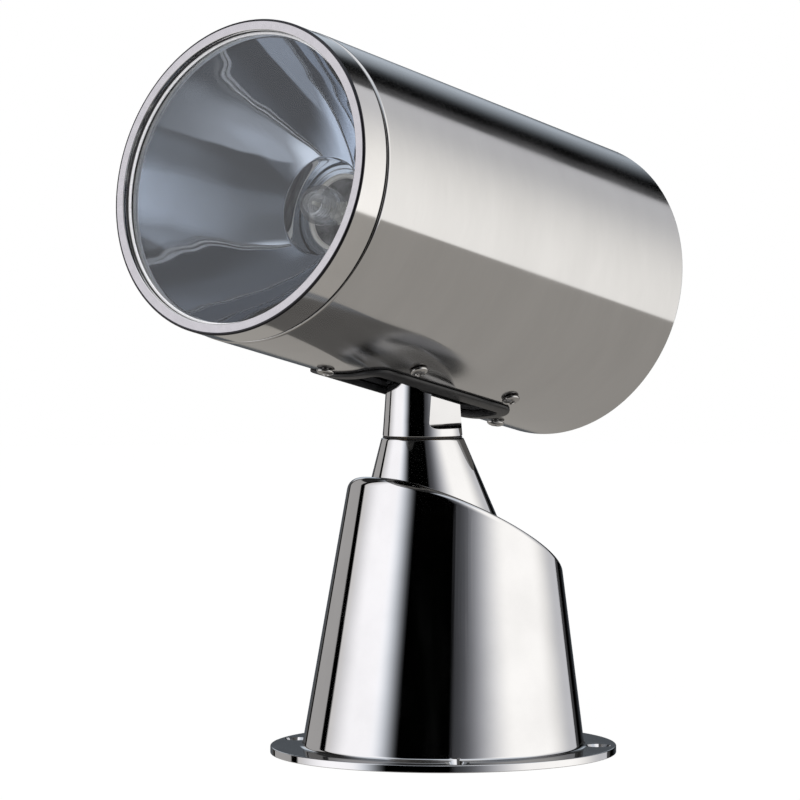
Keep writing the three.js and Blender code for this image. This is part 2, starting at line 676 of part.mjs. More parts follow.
COVER_SCREW_ANGLES.forEach((angle, index) => {
  const section = countersunkScrew(SMALL_HEAD_RADIUS, SMALL_SCREW_RADIUS, SMALL_SCREW_LENGTH);
  const screw = add(searchlight, `cover_screw_${index + 1}`, turned(section, SCREW_SIDES), "zinc");
  screw.applyMatrix4(onCircle(COVER_SCREW_CIRCLE, angle));
});

const glandFlangeFoot = COVER_THICKNESS + GAP;
const glandFlangeTop = glandFlangeFoot + GLAND_FLANGE_THICKNESS;
const cableGland = add(
  searchlight,
  "cable_gland",
  turned(
    [
      [0, GAP],
      [GLAND_RADIUS, GAP],
      [GLAND_RADIUS, glandFlangeFoot],
      [GLAND_RADIUS + GLAND_FLANGE, glandFlangeFoot],
      [GLAND_RADIUS + GLAND_FLANGE, glandFlangeTop],
      [GLAND_RADIUS, glandFlangeTop],
      [GLAND_NOSE_RADIUS, glandFlangeTop + GLAND_NOSE_HEIGHT],
      [0, glandFlangeTop + GLAND_NOSE_HEIGHT],
    ],
    COARSE,
  ),
  "rubber",
);
cableGland.position.set(GLAND_X, GLAND_Y, 0);

// Chassis plate, its screws and the pan motor

const pinionY = PAN_CENTRES - STEM_FORWARD;

function chassisPlate() {
  const cavity = bodyPoint(0, PLATE_TOP, BODY_INSET).x;
  const hole = (radius, sides, place) => rod(radius, -OVERRUN, PLATE_THICKNESS + OVERRUN, sides, place);
  let plate = rod(cavity - PLATE_MARGIN, 0, PLATE_THICKNESS, MEDIUM, at(0, PLATE_CENTRE, 0));
  plate = plate.subtract(hole(LOWER_BUSH_RADIUS + GAP, SMALL_SIDES, at(0, -STEM_FORWARD, 0)));
  plate = plate.subtract(hole(SHAFT_HOLE, SCREW_SIDES, at(0, pinionY, 0)));
  for (const side of [-1, 1]) {
    const place = at(side * PLATE_WINDOW_X, PLATE_WINDOW_Y, 0);
    plate = plate.subtract(hole(PLATE_WINDOW_RADIUS, COARSE, place));
  }
  for (const angle of COLUMN_ANGLES) {
    const place = onCircle(COLUMN_CIRCLE, angle, 0, PLATE_CENTRE);
    plate = plate.subtract(hole(SMALL_SCREW_RADIUS + GAP, SCREW_SIDES, place));
  }
  return plate;
}
add(searchlight, "chassis_plate", chassisPlate(), "zinc").position.set(0, 0, PLATE_HEIGHT);

COLUMN_ANGLES.forEach((angle, index) => {
  const section = [
    [0, -SMALL_HEAD_HEIGHT],
    [SMALL_HEAD_RADIUS, -SMALL_HEAD_HEIGHT],
    [SMALL_HEAD_RADIUS, 0],
    [SMALL_SCREW_RADIUS, 0],
    [SMALL_SCREW_RADIUS, SMALL_SCREW_LENGTH],
    [0, SMALL_SCREW_LENGTH],
  ];
  const screw = add(searchlight, `plate_screw_${index + 1}`, turned(section, SCREW_SIDES), "zinc");
  screw.applyMatrix4(onCircle(COLUMN_CIRCLE, angle, PLATE_HEIGHT - GAP, PLATE_CENTRE));
});

// A gearbox with a blind hole for the pinion's shaft, and the motor's can behind it.
function gearmotor(boxRadius, boxLength, canRadius, canLength) {
  return turned(
    [
      [0, MOTOR_SHAFT_DEPTH + GAP],
      [SHAFT_HOLE, MOTOR_SHAFT_DEPTH + GAP],
      [SHAFT_HOLE, 0],
      [boxRadius, 0],
      [boxRadius, boxLength],
      [canRadius, boxLength],
      [canRadius, boxLength + canLength],
      [0, boxLength + canLength],
    ],
    SMALL_SIDES,
  );
}
const panMotor = add(
  searchlight,
  "pan_motor",
  gearmotor(PAN_GEARBOX_RADIUS, PAN_GEARBOX_LENGTH, PAN_CAN_RADIUS, PAN_CAN_LENGTH),
  "zinc",
);
panMotor.position.set(0, pinionY, PLATE_TOP + GAP);

// A pinion with the motor's shaft, which reaches the given distance from the pinion's foot.
function pinion(thickness, reach) {
  const wheel = extruded(gearShape(PINION_TEETH, PINION_ADDENDUM_SHARE, PINION_FLANK_SHARES), thickness);
  return wheel.add(rod(MOTOR_SHAFT_RADIUS, thickness - GAP, reach, SCREW_SIDES));
}
const panPinionFoot = PAN_GEAR_BOTTOM;
const panPinion = add(
  searchlight,
  "pan_pinion",
  pinion(PAN_GEAR_THICKNESS, PLATE_TOP + MOTOR_SHAFT_DEPTH - panPinionFoot),
  "zinc",
);
panPinion.position.set(0, pinionY, panPinionFoot);
panPinion.rotation.z = -Math.PI / 2 + Math.PI / PINION_TEETH;

// Bushes and seal on the neck's axis

const upperFlangeRadius = UPPER_BUSH_RADIUS + UPPER_BUSH_FLANGE;
const upperFlangeFoot = NECK_HEIGHT - BEARING_RECESS + GAP;
add(
  neckAxis,
  "upper_bush",
  turned(
    [
      [SHAFT_CLEAR, UPPER_BUSH_FOOT],
      [UPPER_BUSH_RADIUS, UPPER_BUSH_FOOT],
      [UPPER_BUSH_RADIUS, upperFlangeFoot],
      [upperFlangeRadius, upperFlangeFoot],
      [upperFlangeRadius, STEM_BOTTOM - GAP],
      [SHAFT_CLEAR, STEM_BOTTOM - GAP],
    ],
    SMALL_SIDES,
  ),
  "bronze",
);

const lowerFlangeRadius = LOWER_BUSH_RADIUS + LOWER_BUSH_FLANGE;
const lowerFlangeTop = PLATE_HEIGHT - GAP;
const lowerFlangeFoot = lowerFlangeTop - BUSH_FLANGE_THICKNESS;
add(
  neckAxis,
  "lower_bush",
  turned(
    [
      [SHAFT_CLEAR, lowerFlangeFoot],
      [lowerFlangeRadius, lowerFlangeFoot],
      [lowerFlangeRadius, lowerFlangeTop],
      [LOWER_BUSH_RADIUS, lowerFlangeTop],
      [LOWER_BUSH_RADIUS, PLATE_TOP + LOWER_BUSH_RISE],
      [SHAFT_CLEAR, PLATE_TOP + LOWER_BUSH_RISE],
    ],
    SMALL_SIDES,
  ),
  "bronze",
);

const sealRadius = NECK_TOP_RADIUS - SEAL_INSET;
add(
  neckAxis,
  "stem_seal",
  tube(sealRadius - SEAL_WIDTH, sealRadius, NECK_HEIGHT + GAP, STEM_BOTTOM - GAP, MEDIUM),
  "rubber",
);

// Stem

function stem() {
  const taper = (height) => STEM_FOOT_RADIUS - STEM_TAPER_SHARE * (height - STEM_BOTTOM);
  const topRadius = taper(TILT_HEIGHT);
  const socketTop = STEM_BOTTOM + SHAFT_SOCKET_DEPTH + GAP;
  const boreTop = TILT_HEIGHT - AXLE_RADIUS - STEM_BORE_MARGIN;
  let body = turned(
    [
      [0, boreTop],
      [SHAFT_BORE, boreTop],
      [SHAFT_BORE, socketTop],
      [SHAFT_CLEAR, socketTop],
      [SHAFT_CLEAR, STEM_BOTTOM],
      [STEM_FOOT_RADIUS - STEM_EDGE, STEM_BOTTOM],
      [STEM_FOOT_RADIUS, STEM_BOTTOM + STEM_EDGE],
      ...quarter(0, TILT_HEIGHT, topRadius, 0, 5),
    ],
    MEDIUM,
  );
  const flatLength = TILT_HEIGHT + topRadius + OVERRUN - FLAT_LEDGE_HEIGHT;
  const flatMiddle = FLAT_LEDGE_HEIGHT + flatLength / 2;
  const side = roundedRectangle(STEM_FOOT_RADIUS + OVERRUN, flatLength / 2, FLAT_CORNER, flatMiddle);
  const facing = extruded(side, OVERRUN + STEM_FOOT_RADIUS, at(FLAT_HALF_WIDTH, 0, 0).multiply(ACROSS));
  const other = -FLAT_HALF_WIDTH - OVERRUN - STEM_FOOT_RADIUS;
  const opposite = extruded(side, OVERRUN + STEM_FOOT_RADIUS, at(other, 0, 0).multiply(ACROSS));
  body = body.subtract(facing).subtract(opposite);
  const axleHole = at(0, 0, TILT_HEIGHT).multiply(ACROSS);
  body = body.subtract(rod(AXLE_CLEAR, -STEM_FOOT_RADIUS, STEM_FOOT_RADIUS, COARSE, axleHole));
  const rearward = new THREE.Matrix4().makeRotationX(-Math.PI / 2);
  const window = at(0, 0, TILT_HEIGHT - WINDOW_DROP).multiply(rearward);
  return body.subtract(rod(WINDOW_RADIUS, 0, STEM_FOOT_RADIUS, COARSE, window));
}
add(pan, "stem", stem(), "polished");

// Pan shaft, gear, slip washer and nut

const shaftTop = STEM_BOTTOM + SHAFT_SOCKET_DEPTH;
add(pan, "pan_shaft", tube(SHAFT_BORE, SHAFT_RADIUS, SHAFT_BOTTOM, shaftTop, SMALL_SIDES), "zinc");

function panGear() {
  const shape = gearShape(PAN_GEAR_TEETH, WHEEL_ADDENDUM_SHARE, WHEEL_FLANK_SHARES);
  const hubTop = lowerFlangeFoot - GAP - PAN_GEAR_BOTTOM;
  const wheel = extruded(shape, PAN_GEAR_THICKNESS);
  const hub = rod(PAN_HUB_RADIUS, 0, hubTop, SMALL_SIDES);
  return wheel.add(hub).subtract(rod(SHAFT_CLEAR, -OVERRUN, hubTop + OVERRUN, SMALL_SIDES));
}
const panGearMesh = add(pan, "pan_gear", panGear(), "bronze");
panGearMesh.position.set(0, 0, PAN_GEAR_BOTTOM);
panGearMesh.rotation.z = Math.PI / 2 - PAN_REST;

const washerTop = PAN_GEAR_BOTTOM - GAP;
const washerOuterTop = washerTop - WASHER_CONE;
add(
  pan,
  "slip_washer",
  turned(
    [
      [SHAFT_CLEAR, washerTop - WASHER_THICKNESS],
      [WASHER_RADIUS, washerOuterTop - WASHER_THICKNESS],
      [WASHER_RADIUS, washerOuterTop],
      [SHAFT_CLEAR, washerTop],
    ],
    SMALL_SIDES,
  ),
  "zinc",
);

const hexagon = Array.from({ length: 6 }, (unused, corner) => [NUT_RADIUS, (corner * Math.PI) / 3]);
const nutTop = washerOuterTop - WASHER_THICKNESS - GAP;
const nutBore = rod(SHAFT_CLEAR, -OVERRUN, NUT_THICKNESS + OVERRUN, SMALL_SIDES);
const nut = extruded(outlineOf(hexagon), NUT_THICKNESS).subtract(nutBore);
add(pan, "shaft_nut", nut, "zinc").position.set(0, 0, nutTop - NUT_THICKNESS);

// Tilt axle, gear, spacer and clips, fixed to the stem

add(axleLine, "tilt_axle", rod(AXLE_RADIUS, -AXLE_HALF, AXLE_HALF, COARSE), "zinc");

const tiltGearShape = gearShape(TILT_GEAR_TEETH, WHEEL_ADDENDUM_SHARE, WHEEL_FLANK_SHARES);
const tiltGearBore = rod(AXLE_CLEAR, -OVERRUN, TILT_GEAR_THICKNESS + OVERRUN, COARSE);
const tiltWheel = extruded(tiltGearShape, TILT_GEAR_THICKNESS).subtract(tiltGearBore);
const tiltGear = add(axleLine, "tilt_gear", tiltWheel, "bronze");
tiltGear.position.set(0, 0, TILT_GEAR_START);
tiltGear.rotation.z = TILT_MOTOR_ANGLE - TILT_REST;

const bushInner = CHEEK_INNER - GAP - TILT_BUSH_FLANGE_THICKNESS;
const spacerRadius = AXLE_CLEAR + SPACER_WALL;
add(
  axleLine,
  "axle_spacer",
  tube(AXLE_CLEAR, spacerRadius, -bushInner + GAP, -TILT_GEAR_START, COARSE),
  "acetal",
);

const clipStart = CHEEK_OUTER + 2 * GAP;
const clip = tube(AXLE_CLEAR, AXLE_CLEAR + CLIP_WIDTH, clipStart, clipStart + CLIP_THICKNESS, COARSE);
add(axleLine, "axle_clip_right", clip, "zinc");
const mirrored = -clipStart - CLIP_THICKNESS;
const otherClip = tube(AXLE_CLEAR, AXLE_CLEAR + CLIP_WIDTH, mirrored, -clipStart, COARSE);
add(axleLine, "axle_clip_left", otherClip, "zinc");

// Drum with its slot and screw holes

const SCREW_PLACES = [
  [FRONT_SCREW, 0],
  [FRONT_SIDE_SCREW, SIDE_SCREW_ARC],
  [FRONT_SIDE_SCREW, -SIDE_SCREW_ARC],
  [REAR_SIDE_SCREW, SIDE_SCREW_ARC],
  [REAR_SIDE_SCREW, -SIDE_SCREW_ARC],
  [REAR_SCREW, 0],
];

// Frame of a screw on the drum: Z points into the drum, towards its axis.
function screwFrame([forward, arc]) {
  const around = new THREE.Matrix4().makeRotationZ(arc / DRUM_RADIUS);
  const inward = new THREE.Matrix4().makeRotationX(-Math.PI / 2);
  return at(0, 0, forward).multiply(around).multiply(at(0, -DRUM_RADIUS, 0)).multiply(inward);
}

function drill(solid) {
  return SCREW_PLACES.reduce((left, place) => {
    const hole = rod(HEAD_SCREW_RADIUS + GAP, -OVERRUN, 2 * OVERRUN, SCREW_SIDES, screwFrame(place));
    return left.subtract(hole);
  }, solid);
}

function slotPrism(margin) {
  const corner = SLOT_CORNER + margin;
  const shape = roundedRectangle(SLOT_HALF_WIDTH + margin, SLOT_HALF_LENGTH + margin, corner, SLOT_CENTRE);
  return extruded(shape, DRUM_RADIUS + 2 * OVERRUN, DOWNWARD);
}

function headTube() {
  const shell = turned(
    [
      [DRUM_BORE, DRUM_REAR],
      [DRUM_RADIUS - DRUM_EDGE, DRUM_REAR],
      [DRUM_RADIUS, DRUM_REAR + DRUM_EDGE],
      [DRUM_RADIUS, DRUM_FRONT - DRUM_EDGE],
      [DRUM_RADIUS - DRUM_EDGE, DRUM_FRONT],
      [DRUM_BORE, DRUM_FRONT],
    ],
    FINE,
  );
  return drill(shell.subtract(slotPrism(GASKET_PLUG + GAP)));
}
add(drum, "head_tube", headTube(), "brushed");

const rearFace = DRUM_REAR + REAR_RECESS;
const rearRadius = DRUM_BORE - GAP;
const sealSeat = rearRadius - REAR_SEAL_THICKNESS - GAP;
const skirtFront = rearFace + REAR_SKIRT;
const seatStart = skirtFront - REAR_SEAL_WIDTH - 2 * GAP;
add(
  drum,
  "rear_cover",
  turned(
    [
      [0, rearFace + REAR_DISH],
      [REAR_DISH_RADIUS, rearFace + REAR_DISH],
      [REAR_DISH_RADIUS + REAR_DISH, rearFace],
      [rearRadius - REAR_CORNER, rearFace],
      [rearRadius, rearFace + REAR_CORNER],
      [rearRadius, seatStart],
      [sealSeat, seatStart],
      [sealSeat, skirtFront],
      [sealSeat - REAR_THICKNESS, skirtFront],
      [sealSeat - REAR_THICKNESS, rearFace + REAR_CORNER + REAR_THICKNESS],
      [REAR_DISH_RADIUS, rearFace + REAR_DISH + REAR_THICKNESS],
      [0, rearFace + REAR_DISH + REAR_THICKNESS],
    ],
    MEDIUM,
  ),
  "brushed",
);
add(
  drum,
  "rear_seal",
  tube(sealSeat + GAP, rearRadius, seatStart + GAP, skirtFront, MEDIUM),
  "rubber",
);

// Bezel, gasket, glass, carrier and reflector

add(
  drum,
  "bezel",
  turned(
    [
      [BEZEL_BORE, BEZEL_REAR],
      [BEZEL_RADIUS - BEZEL_REAR_EDGE, BEZEL_REAR],
      [BEZEL_RADIUS, BEZEL_REAR + BEZEL_REAR_EDGE],
      [BEZEL_RADIUS, BEZEL_FRONT - BEZEL_EDGE],
      [BEZEL_RADIUS - BEZEL_EDGE, BEZEL_FRONT],
      [BEZEL_OPENING, BEZEL_FRONT],
      [BEZEL_OPENING, LIP_REAR],
      [BEZEL_BORE, LIP_REAR],
    ],
    FINE,
  ),
  "polished",
);

const frontLipRear = LIP_REAR - GAP - GASKET_FRONT_LIP;
add(
  drum,
  "glass_gasket",
  turned(
    [
      [GASKET_LIP_RADIUS, GASKET_REAR],
      [GASKET_RADIUS, GASKET_REAR],
      [GASKET_RADIUS, LIP_REAR - GAP],
      [GASKET_LIP_RADIUS, LIP_REAR - GAP],
      [GASKET_LIP_RADIUS, frontLipRear],
      [GASKET_RADIUS - GASKET_WALL, frontLipRear],
      [GASKET_RADIUS - GASKET_WALL, GASKET_REAR + GASKET_REAR_LIP],
      [GASKET_LIP_RADIUS, GASKET_REAR + GASKET_REAR_LIP],
    ],
    MEDIUM,
  ),
  "rubber",
);

add(
  drum,
  "front_glass",
  turned(
    [
      [0, GLASS_REAR],
      [GLASS_RADIUS, GLASS_REAR],
      [GLASS_RADIUS, GLASS_FRONT - GLASS_EDGE],
      [GLASS_RADIUS - GLASS_EDGE, GLASS_FRONT],
      [0, GLASS_FRONT],
    ],
    MEDIUM,
  ),
  "glass",
);

add(
  drum,
  "lens_carrier",
  turned(
    [
      [CARRIER_BORE, CARRIER_FRONT - CARRIER_LENGTH],
      [DRUM_BORE - GAP, CARRIER_FRONT - CARRIER_LENGTH],
      [DRUM_BORE - GAP, BEZEL_REAR - GAP],
      [DRUM_BORE - GAP - CARRIER_STEP, BEZEL_REAR - GAP],
      [DRUM_BORE - GAP - CARRIER_STEP, CARRIER_FRONT],
      [CARRIER_BORE, CARRIER_FRONT],
    ],
    MEDIUM,
  ),
  "blackened",
);

function reflectorDepth(radius) {
  return REFLECTOR_APEX + radius ** 2 / (4 * FOCAL_LENGTH);
}

function reflector() {
  const inside = [];
  const outside = [];
  for (let step = 0; step <= REFLECTOR_STEPS; step += 1) {
    const share = step / REFLECTOR_STEPS;
    const radius = THREE.MathUtils.lerp(REFLECTOR_NECK_RADIUS, REFLECTOR_RIM_RADIUS, share);
    const normal = new THREE.Vector2(radius / (2 * FOCAL_LENGTH), -1).normalize();
    const wall = REFLECTOR_WALL;
    inside.push([radius, reflectorDepth(radius)]);
    outside.push([radius + wall * normal.x, reflectorDepth(radius) + wall * normal.y]);
  }
  const neckOutside = REFLECTOR_NECK_RADIUS + REFLECTOR_WALL;
  const neckSlope = Math.hypot(1, neckOutside / (2 * FOCAL_LENGTH));
  outside[0] = [neckOutside, reflectorDepth(neckOutside) - REFLECTOR_WALL * neckSlope];
  const flangeRear = RIM_FRONT - REFLECTOR_WALL;
  const below = outside.filter(([, depth]) => depth < flangeRear - REFLECTOR_WALL);
  const throat = REFLECTOR_RIM_RADIUS + REFLECTOR_WALL;
  return turned(
    [
      [REFLECTOR_HOLE, REFLECTOR_SEAT - REFLECTOR_WALL],
      [neckOutside, REFLECTOR_SEAT - REFLECTOR_WALL],
      ...below,
      [throat, flangeRear],
      [REFLECTOR_FLANGE_RADIUS, flangeRear],
      [REFLECTOR_FLANGE_RADIUS, RIM_FRONT],
      ...inside.reverse(),
      [REFLECTOR_NECK_RADIUS, REFLECTOR_SEAT],
      [REFLECTOR_HOLE, REFLECTOR_SEAT],
    ],
    MEDIUM,
  );
}
add(drum, "reflector", reflector(), "mirror");

// Lamp collar, socket and bulb

const collarFront = REFLECTOR_SEAT + GAP + COLLAR_RIM_THICKNESS;
const spigotRadius = REFLECTOR_HOLE - GAP;
const collarFloor = collarFront - COLLAR_STEPS * COLLAR_STEP_HEIGHT;
const socketHole = SOCKET_NOSE_RADIUS + GAP;

function lampCollar() {
  const section = [
    [COLLAR_RADIUS, collarFront - COLLAR_RIM_THICKNESS],
    [COLLAR_RADIUS, collarFront],
  ];
  for (let step = 1; step <= COLLAR_STEPS; step += 1) {
    const radius = COLLAR_RADIUS - step * COLLAR_STEP_WIDTH;
    section.push([radius, collarFront - (step - 1) * COLLAR_STEP_HEIGHT]);
    section.push([radius, collarFront - step * COLLAR_STEP_HEIGHT]);
  }
  section.push(
    [socketHole, collarFloor],
    [socketHole, collarFloor - COLLAR_STEP_HEIGHT],
    [spigotRadius - COLLAR_WALL, collarFloor - COLLAR_STEP_HEIGHT],
    [spigotRadius - COLLAR_WALL, collarFloor - COLLAR_SPIGOT_DEPTH],
    [spigotRadius, collarFloor - COLLAR_SPIGOT_DEPTH],
    [spigotRadius, REFLECTOR_SEAT + GAP],
  );
  return turned(section, SMALL_SIDES);
}
add(drum, "lamp_collar", lampCollar(), "polished");

const socketShoulder = collarFloor - COLLAR_STEP_HEIGHT - GAP;
add(
  drum,
  "lamp_socket",
  turned(
    [
      [0, socketShoulder - SOCKET_LENGTH],
      [SOCKET_RADIUS, socketShoulder - SOCKET_LENGTH],
      [SOCKET_RADIUS, socketShoulder],
      [SOCKET_NOSE_RADIUS, socketShoulder],
      [SOCKET_NOSE_RADIUS, collarFloor],
      [0, collarFloor],
    ],
    COARSE,
  ),
  "ceramic",
);

const bulbFoot = collarFloor + GAP;
const bulbShoulder = bulbFoot + BULB_BASE_LENGTH;
add(
  drum,
  "halogen_bulb",
  turned(
    [
      [0, bulbFoot],
      [BULB_BASE_RADIUS, bulbFoot],
      [BULB_BASE_RADIUS, bulbShoulder],
      [BULB_RADIUS, bulbShoulder + BULB_BASE_LENGTH],
      ...quarter(0, bulbFoot + BULB_LENGTH - BULB_RADIUS, BULB_RADIUS, 0, 4),
    ],
    COARSE,
  ),
  "glass",
);

// Slot gasket and screws

function slotGasket() {
  const reach = SLOT_HALF_LENGTH + GASKET_RIM + OVERRUN;
  const span = [SLOT_CENTRE - reach, SLOT_CENTRE + reach];
  const opening = slotPrism(0);
  const plugRing = tube(CRADLE_RADIUS + GAP, DRUM_RADIUS + 2 * GAP, ...span, FINE);
  const rimRing = tube(DRUM_RADIUS + GAP, DRUM_RADIUS + GAP + GASKET_PROUD, ...span, FINE);
  const plug = slotPrism(GASKET_PLUG).intersect(plugRing);
  const rim = slotPrism(GASKET_RIM).intersect(rimRing);
  return plug.add(rim).subtract(opening);
}
add(drum, "slot_gasket", slotGasket(), "rubber");

SCREW_PLACES.forEach((place, index) => {
  const seat = -2 * GAP;
  const section = [
    [0, seat - HEAD_SCREW_DOME],
    [HEAD_SCREW_HEAD / 2, seat - HEAD_SCREW_DOME],
    [HEAD_SCREW_HEAD, seat - HEAD_SCREW_DOME / 2],
    [HEAD_SCREW_HEAD, seat],
    [HEAD_SCREW_RADIUS, seat],
    [HEAD_SCREW_RADIUS, seat + HEAD_SCREW_LENGTH],
    [0, seat + HEAD_SCREW_LENGTH],
  ];
  const screw = add(drum, `head_screw_${index + 1}`, turned(section, SCREW_SIDES), "polished");
  screw.applyMatrix4(screwFrame(place));
});

// Cradle: a saddle that follows the drum, with a cheek on each side of the stem

const motorReach = TILT_CENTRES * Math.cos(TILT_MOTOR_ANGLE);
const motorRise = TILT_CENTRES * Math.sin(TILT_MOTOR_ANGLE) - AXIS_OVER_PIVOT;

// A cheek in the plane of height and forward distance, with an eye for the axle and perhaps one for a motor.
function cheek(withMotor) {
  const foot = -CRADLE_RADIUS;
  const wedge = (x, y, radius) => {
    const shape = new THREE.Shape();
    shape.moveTo(foot, -CHEEK_FOOT_HALF);
    shape.lineTo(x, y - radius);
    shape.absarc(x, y, radius, -Math.PI / 2, Math.PI / 2, false);
    shape.lineTo(foot, CHEEK_FOOT_HALF);
    shape.closePath();
    return shape;
  };
  const arms = [wedge(-AXIS_OVER_PIVOT, 0, CHEEK_EYE)];
  if (withMotor) arms.push(wedge(motorRise, -motorReach, TILT_GEARBOX_RADIUS));
  const start = withMotor ? CHEEK_INNER : -CHEEK_OUTER;
  const place = at(start, 0, 0).multiply(ACROSS);
  const plates = arms.map((shape) => extruded(shape, CHEEK_THICKNESS, place, 6));
  return plates.reduce((left, plate) => left.add(plate));
}

function tiltCradle() {
  const span = [-CRADLE_HALF_LENGTH - OVERRUN, CRADLE_HALF_LENGTH + OVERRUN];
  const shell = tube(CRADLE_RADIUS - CRADLE_WALL, CRADLE_RADIUS, ...span, FINE);
  const plan = roundedRectangle(CRADLE_HALF_WIDTH, CRADLE_HALF_LENGTH, CRADLE_CORNER);
  const saddle = shell.intersect(extruded(plan, DRUM_RADIUS, DOWNWARD));
  const within = rod(CRADLE_RADIUS - CRADLE_WALL / 2, ...span, FINE);
  const cheeks = cheek(true).add(cheek(false)).intersect(within);
  const eye = at(0, -AXIS_OVER_PIVOT, 0).multiply(ACROSS);
  const motorEye = at(0, motorRise, -motorReach).multiply(ACROSS);
  const cradle = saddle
    .add(cheeks)
    .subtract(slotPrism(CRADLE_MARGIN))
    .subtract(rod(TILT_BUSH_RADIUS + GAP, -AXLE_HALF, AXLE_HALF, COARSE, eye))
    .subtract(rod(SHAFT_HOLE, 0, AXLE_HALF, SCREW_SIDES, motorEye));
  return drill(cradle);
}
add(drum, "tilt_cradle", tiltCradle(), "blackened");

// Bushes, motor and pinion of the tilt, on lines across the drum

function tiltBush() {
  const flangeRadius = TILT_BUSH_RADIUS + TILT_BUSH_FLANGE;
  return turned(
    [
      [AXLE_CLEAR, bushInner],
      [flangeRadius, bushInner],
      [flangeRadius, bushInner + TILT_BUSH_FLANGE_THICKNESS],
      [TILT_BUSH_RADIUS, bushInner + TILT_BUSH_FLANGE_THICKNESS],
      [TILT_BUSH_RADIUS, CHEEK_OUTER + GAP],
      [AXLE_CLEAR, CHEEK_OUTER + GAP],
    ],
    COARSE,
  );
}
add(bearingLine, "tilt_bush_right", tiltBush(), "bronze");
add(bearingLine, "tilt_bush_left", tiltBush(), "bronze").rotation.x = Math.PI;

const motorLine = new THREE.Group();
motorLine.rotation.z = -TILT_MOTOR_ANGLE;
bearingLine.add(motorLine);
const tiltMotor = add(
  motorLine,
  "tilt_motor",
  gearmotor(TILT_GEARBOX_RADIUS, TILT_GEARBOX_LENGTH, TILT_CAN_RADIUS, TILT_CAN_LENGTH),
  "zinc",
);
tiltMotor.position.set(TILT_CENTRES, 0, CHEEK_OUTER + GAP);
const tiltPinion = add(
  motorLine,
  "tilt_pinion",
  pinion(TILT_GEAR_THICKNESS, CHEEK_OUTER + MOTOR_SHAFT_DEPTH - TILT_GEAR_START),
  "zinc",
);
tiltPinion.position.set(TILT_CENTRES, 0, TILT_GEAR_START);
tiltPinion.rotation.z = Math.PI + Math.PI / PINION_TEETH;

export default searchlight;
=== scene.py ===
import json
import math

import bmesh
import bpy
import numpy as np
from mathutils import Matrix, Vector


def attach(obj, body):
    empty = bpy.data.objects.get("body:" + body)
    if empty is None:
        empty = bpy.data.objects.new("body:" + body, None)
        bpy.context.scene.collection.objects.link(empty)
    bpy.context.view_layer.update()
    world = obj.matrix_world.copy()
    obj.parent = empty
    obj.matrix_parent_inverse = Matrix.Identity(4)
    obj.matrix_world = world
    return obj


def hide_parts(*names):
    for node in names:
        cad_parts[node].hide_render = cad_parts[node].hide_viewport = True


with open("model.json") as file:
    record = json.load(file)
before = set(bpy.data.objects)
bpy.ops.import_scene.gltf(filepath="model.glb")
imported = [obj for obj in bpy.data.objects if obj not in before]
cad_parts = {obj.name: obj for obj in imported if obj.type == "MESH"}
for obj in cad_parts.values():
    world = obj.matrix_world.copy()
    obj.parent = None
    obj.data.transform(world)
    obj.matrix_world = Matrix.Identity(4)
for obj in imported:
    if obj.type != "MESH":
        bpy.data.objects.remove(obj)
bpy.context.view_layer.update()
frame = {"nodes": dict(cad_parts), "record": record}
scene = bpy.context.scene

# Lengths are in millimetres up to the last step, and angles in degrees.
MM = 0.001
MERGE = 1e-7  # metres
OVERRUN = 6  # how far a cutting tool stands out
SMOOTH_ANGLE = math.radians(32)
PAN_REST = 13
TILT_REST = 12.23
TILT_HEIGHT = 268.3
AXIS_OVER_PIVOT = 48
STEM_Y = -16

# Pedestal
FLANGE_RADIUS = 107.5
FLANGE_THICKNESS = 4.6
FLANGE_EDGE = 0.7
FLANGE_FOOT_EDGE = 0.4
UNDER_BODY = 80  # a radius inside the body's foot
BODY_FOOT_RADIUS = 87.7
BODY_TAPER = 0.1508
BODY_LEAN = 0.0348
BODY_FOOT_FILLET = 2
BODY_RINGS = (20, 45)
TOP_HEIGHT = 146.1
TOP_SLOPE = 0.527
SHOULDER_FILLET = 6
SHOULDER_ROOM = 0.85  # the share of the slanted top that the fillet may take
NECK_FOOT_ROOM = 0.13
NECK_HEIGHT = 195.7
NECK_TOP_RADIUS = 25.4
NECK_TAPER = 0.34
NECK_LEAN = 0.109
NECK_FOOT_FILLET = 2.5
NECK_EDGE = 0.7
NECK_RINGS = (188, 194.6)
WALL = 5
HOLE_CIRCLE = 96.4
HOLE_RADIUS = 4.2
COUNTERSINK = 7.9
HOLE_ANGLES = (-136, -56, 56, 136)
PEDESTAL_SIDES = 224

# Inside the pedestal; a span is (from, to) in height
CAVITY_SIDES = 96
CAVITY_BOTTOM = 2.6
CAVITY_TOP = 177.7
COLUMN_CIRCLE = 67.974
COLUMN_CENTRE_Y = 1.9975
COLUMN_ANGLES = (90, 210, 330)
COLUMN_RADIUS = 6
COLUMN_SPAN = (66.3, 190)
COLUMN_HOLE_SPAN = (50, 76)
BOSS_CIRCLE = 76.54
BOSS_ANGLES = (45, 135, 225, 315)
BOSS_RADIUS = 5
BOSS_SPAN = (2.9, 16.9)
BOSS_HOLE_SPAN = (-1, 13)
SCREW_HOLE = 2.3
COVER_RECESS = 85.64
COVER_RECESS_TOP = 4.4
BUSH_BORE = 17
SEAL_BORE = 20
SEAL_BORE_FOOT = 194.2
BORE_SPAN = (165, 205)

# Stem
STEM_BOTTOM = 197
STEM_RADIUS = 24.65
STEM_TAPER = 0.0713
STEM_FOOT_EDGE = 0.6
FLAT_X = 18
LEDGE = 202
LEDGE_FILLET = 4
FLAT_POINTS = 25
ROUND_POINTS = 39
SOCKET_FOOT = 190
SOCKET_RADIUS = 11.3  # for the pan shaft
SOCKET_TOP = 217.3
WIRE_BORE = 7.5
WIRE_BORE_TOP = 252.3
WINDOW_RADIUS = 5.5
WINDOW_DROP = 26
AXLE_HOLE = 6.3
STEM_REACH = 30

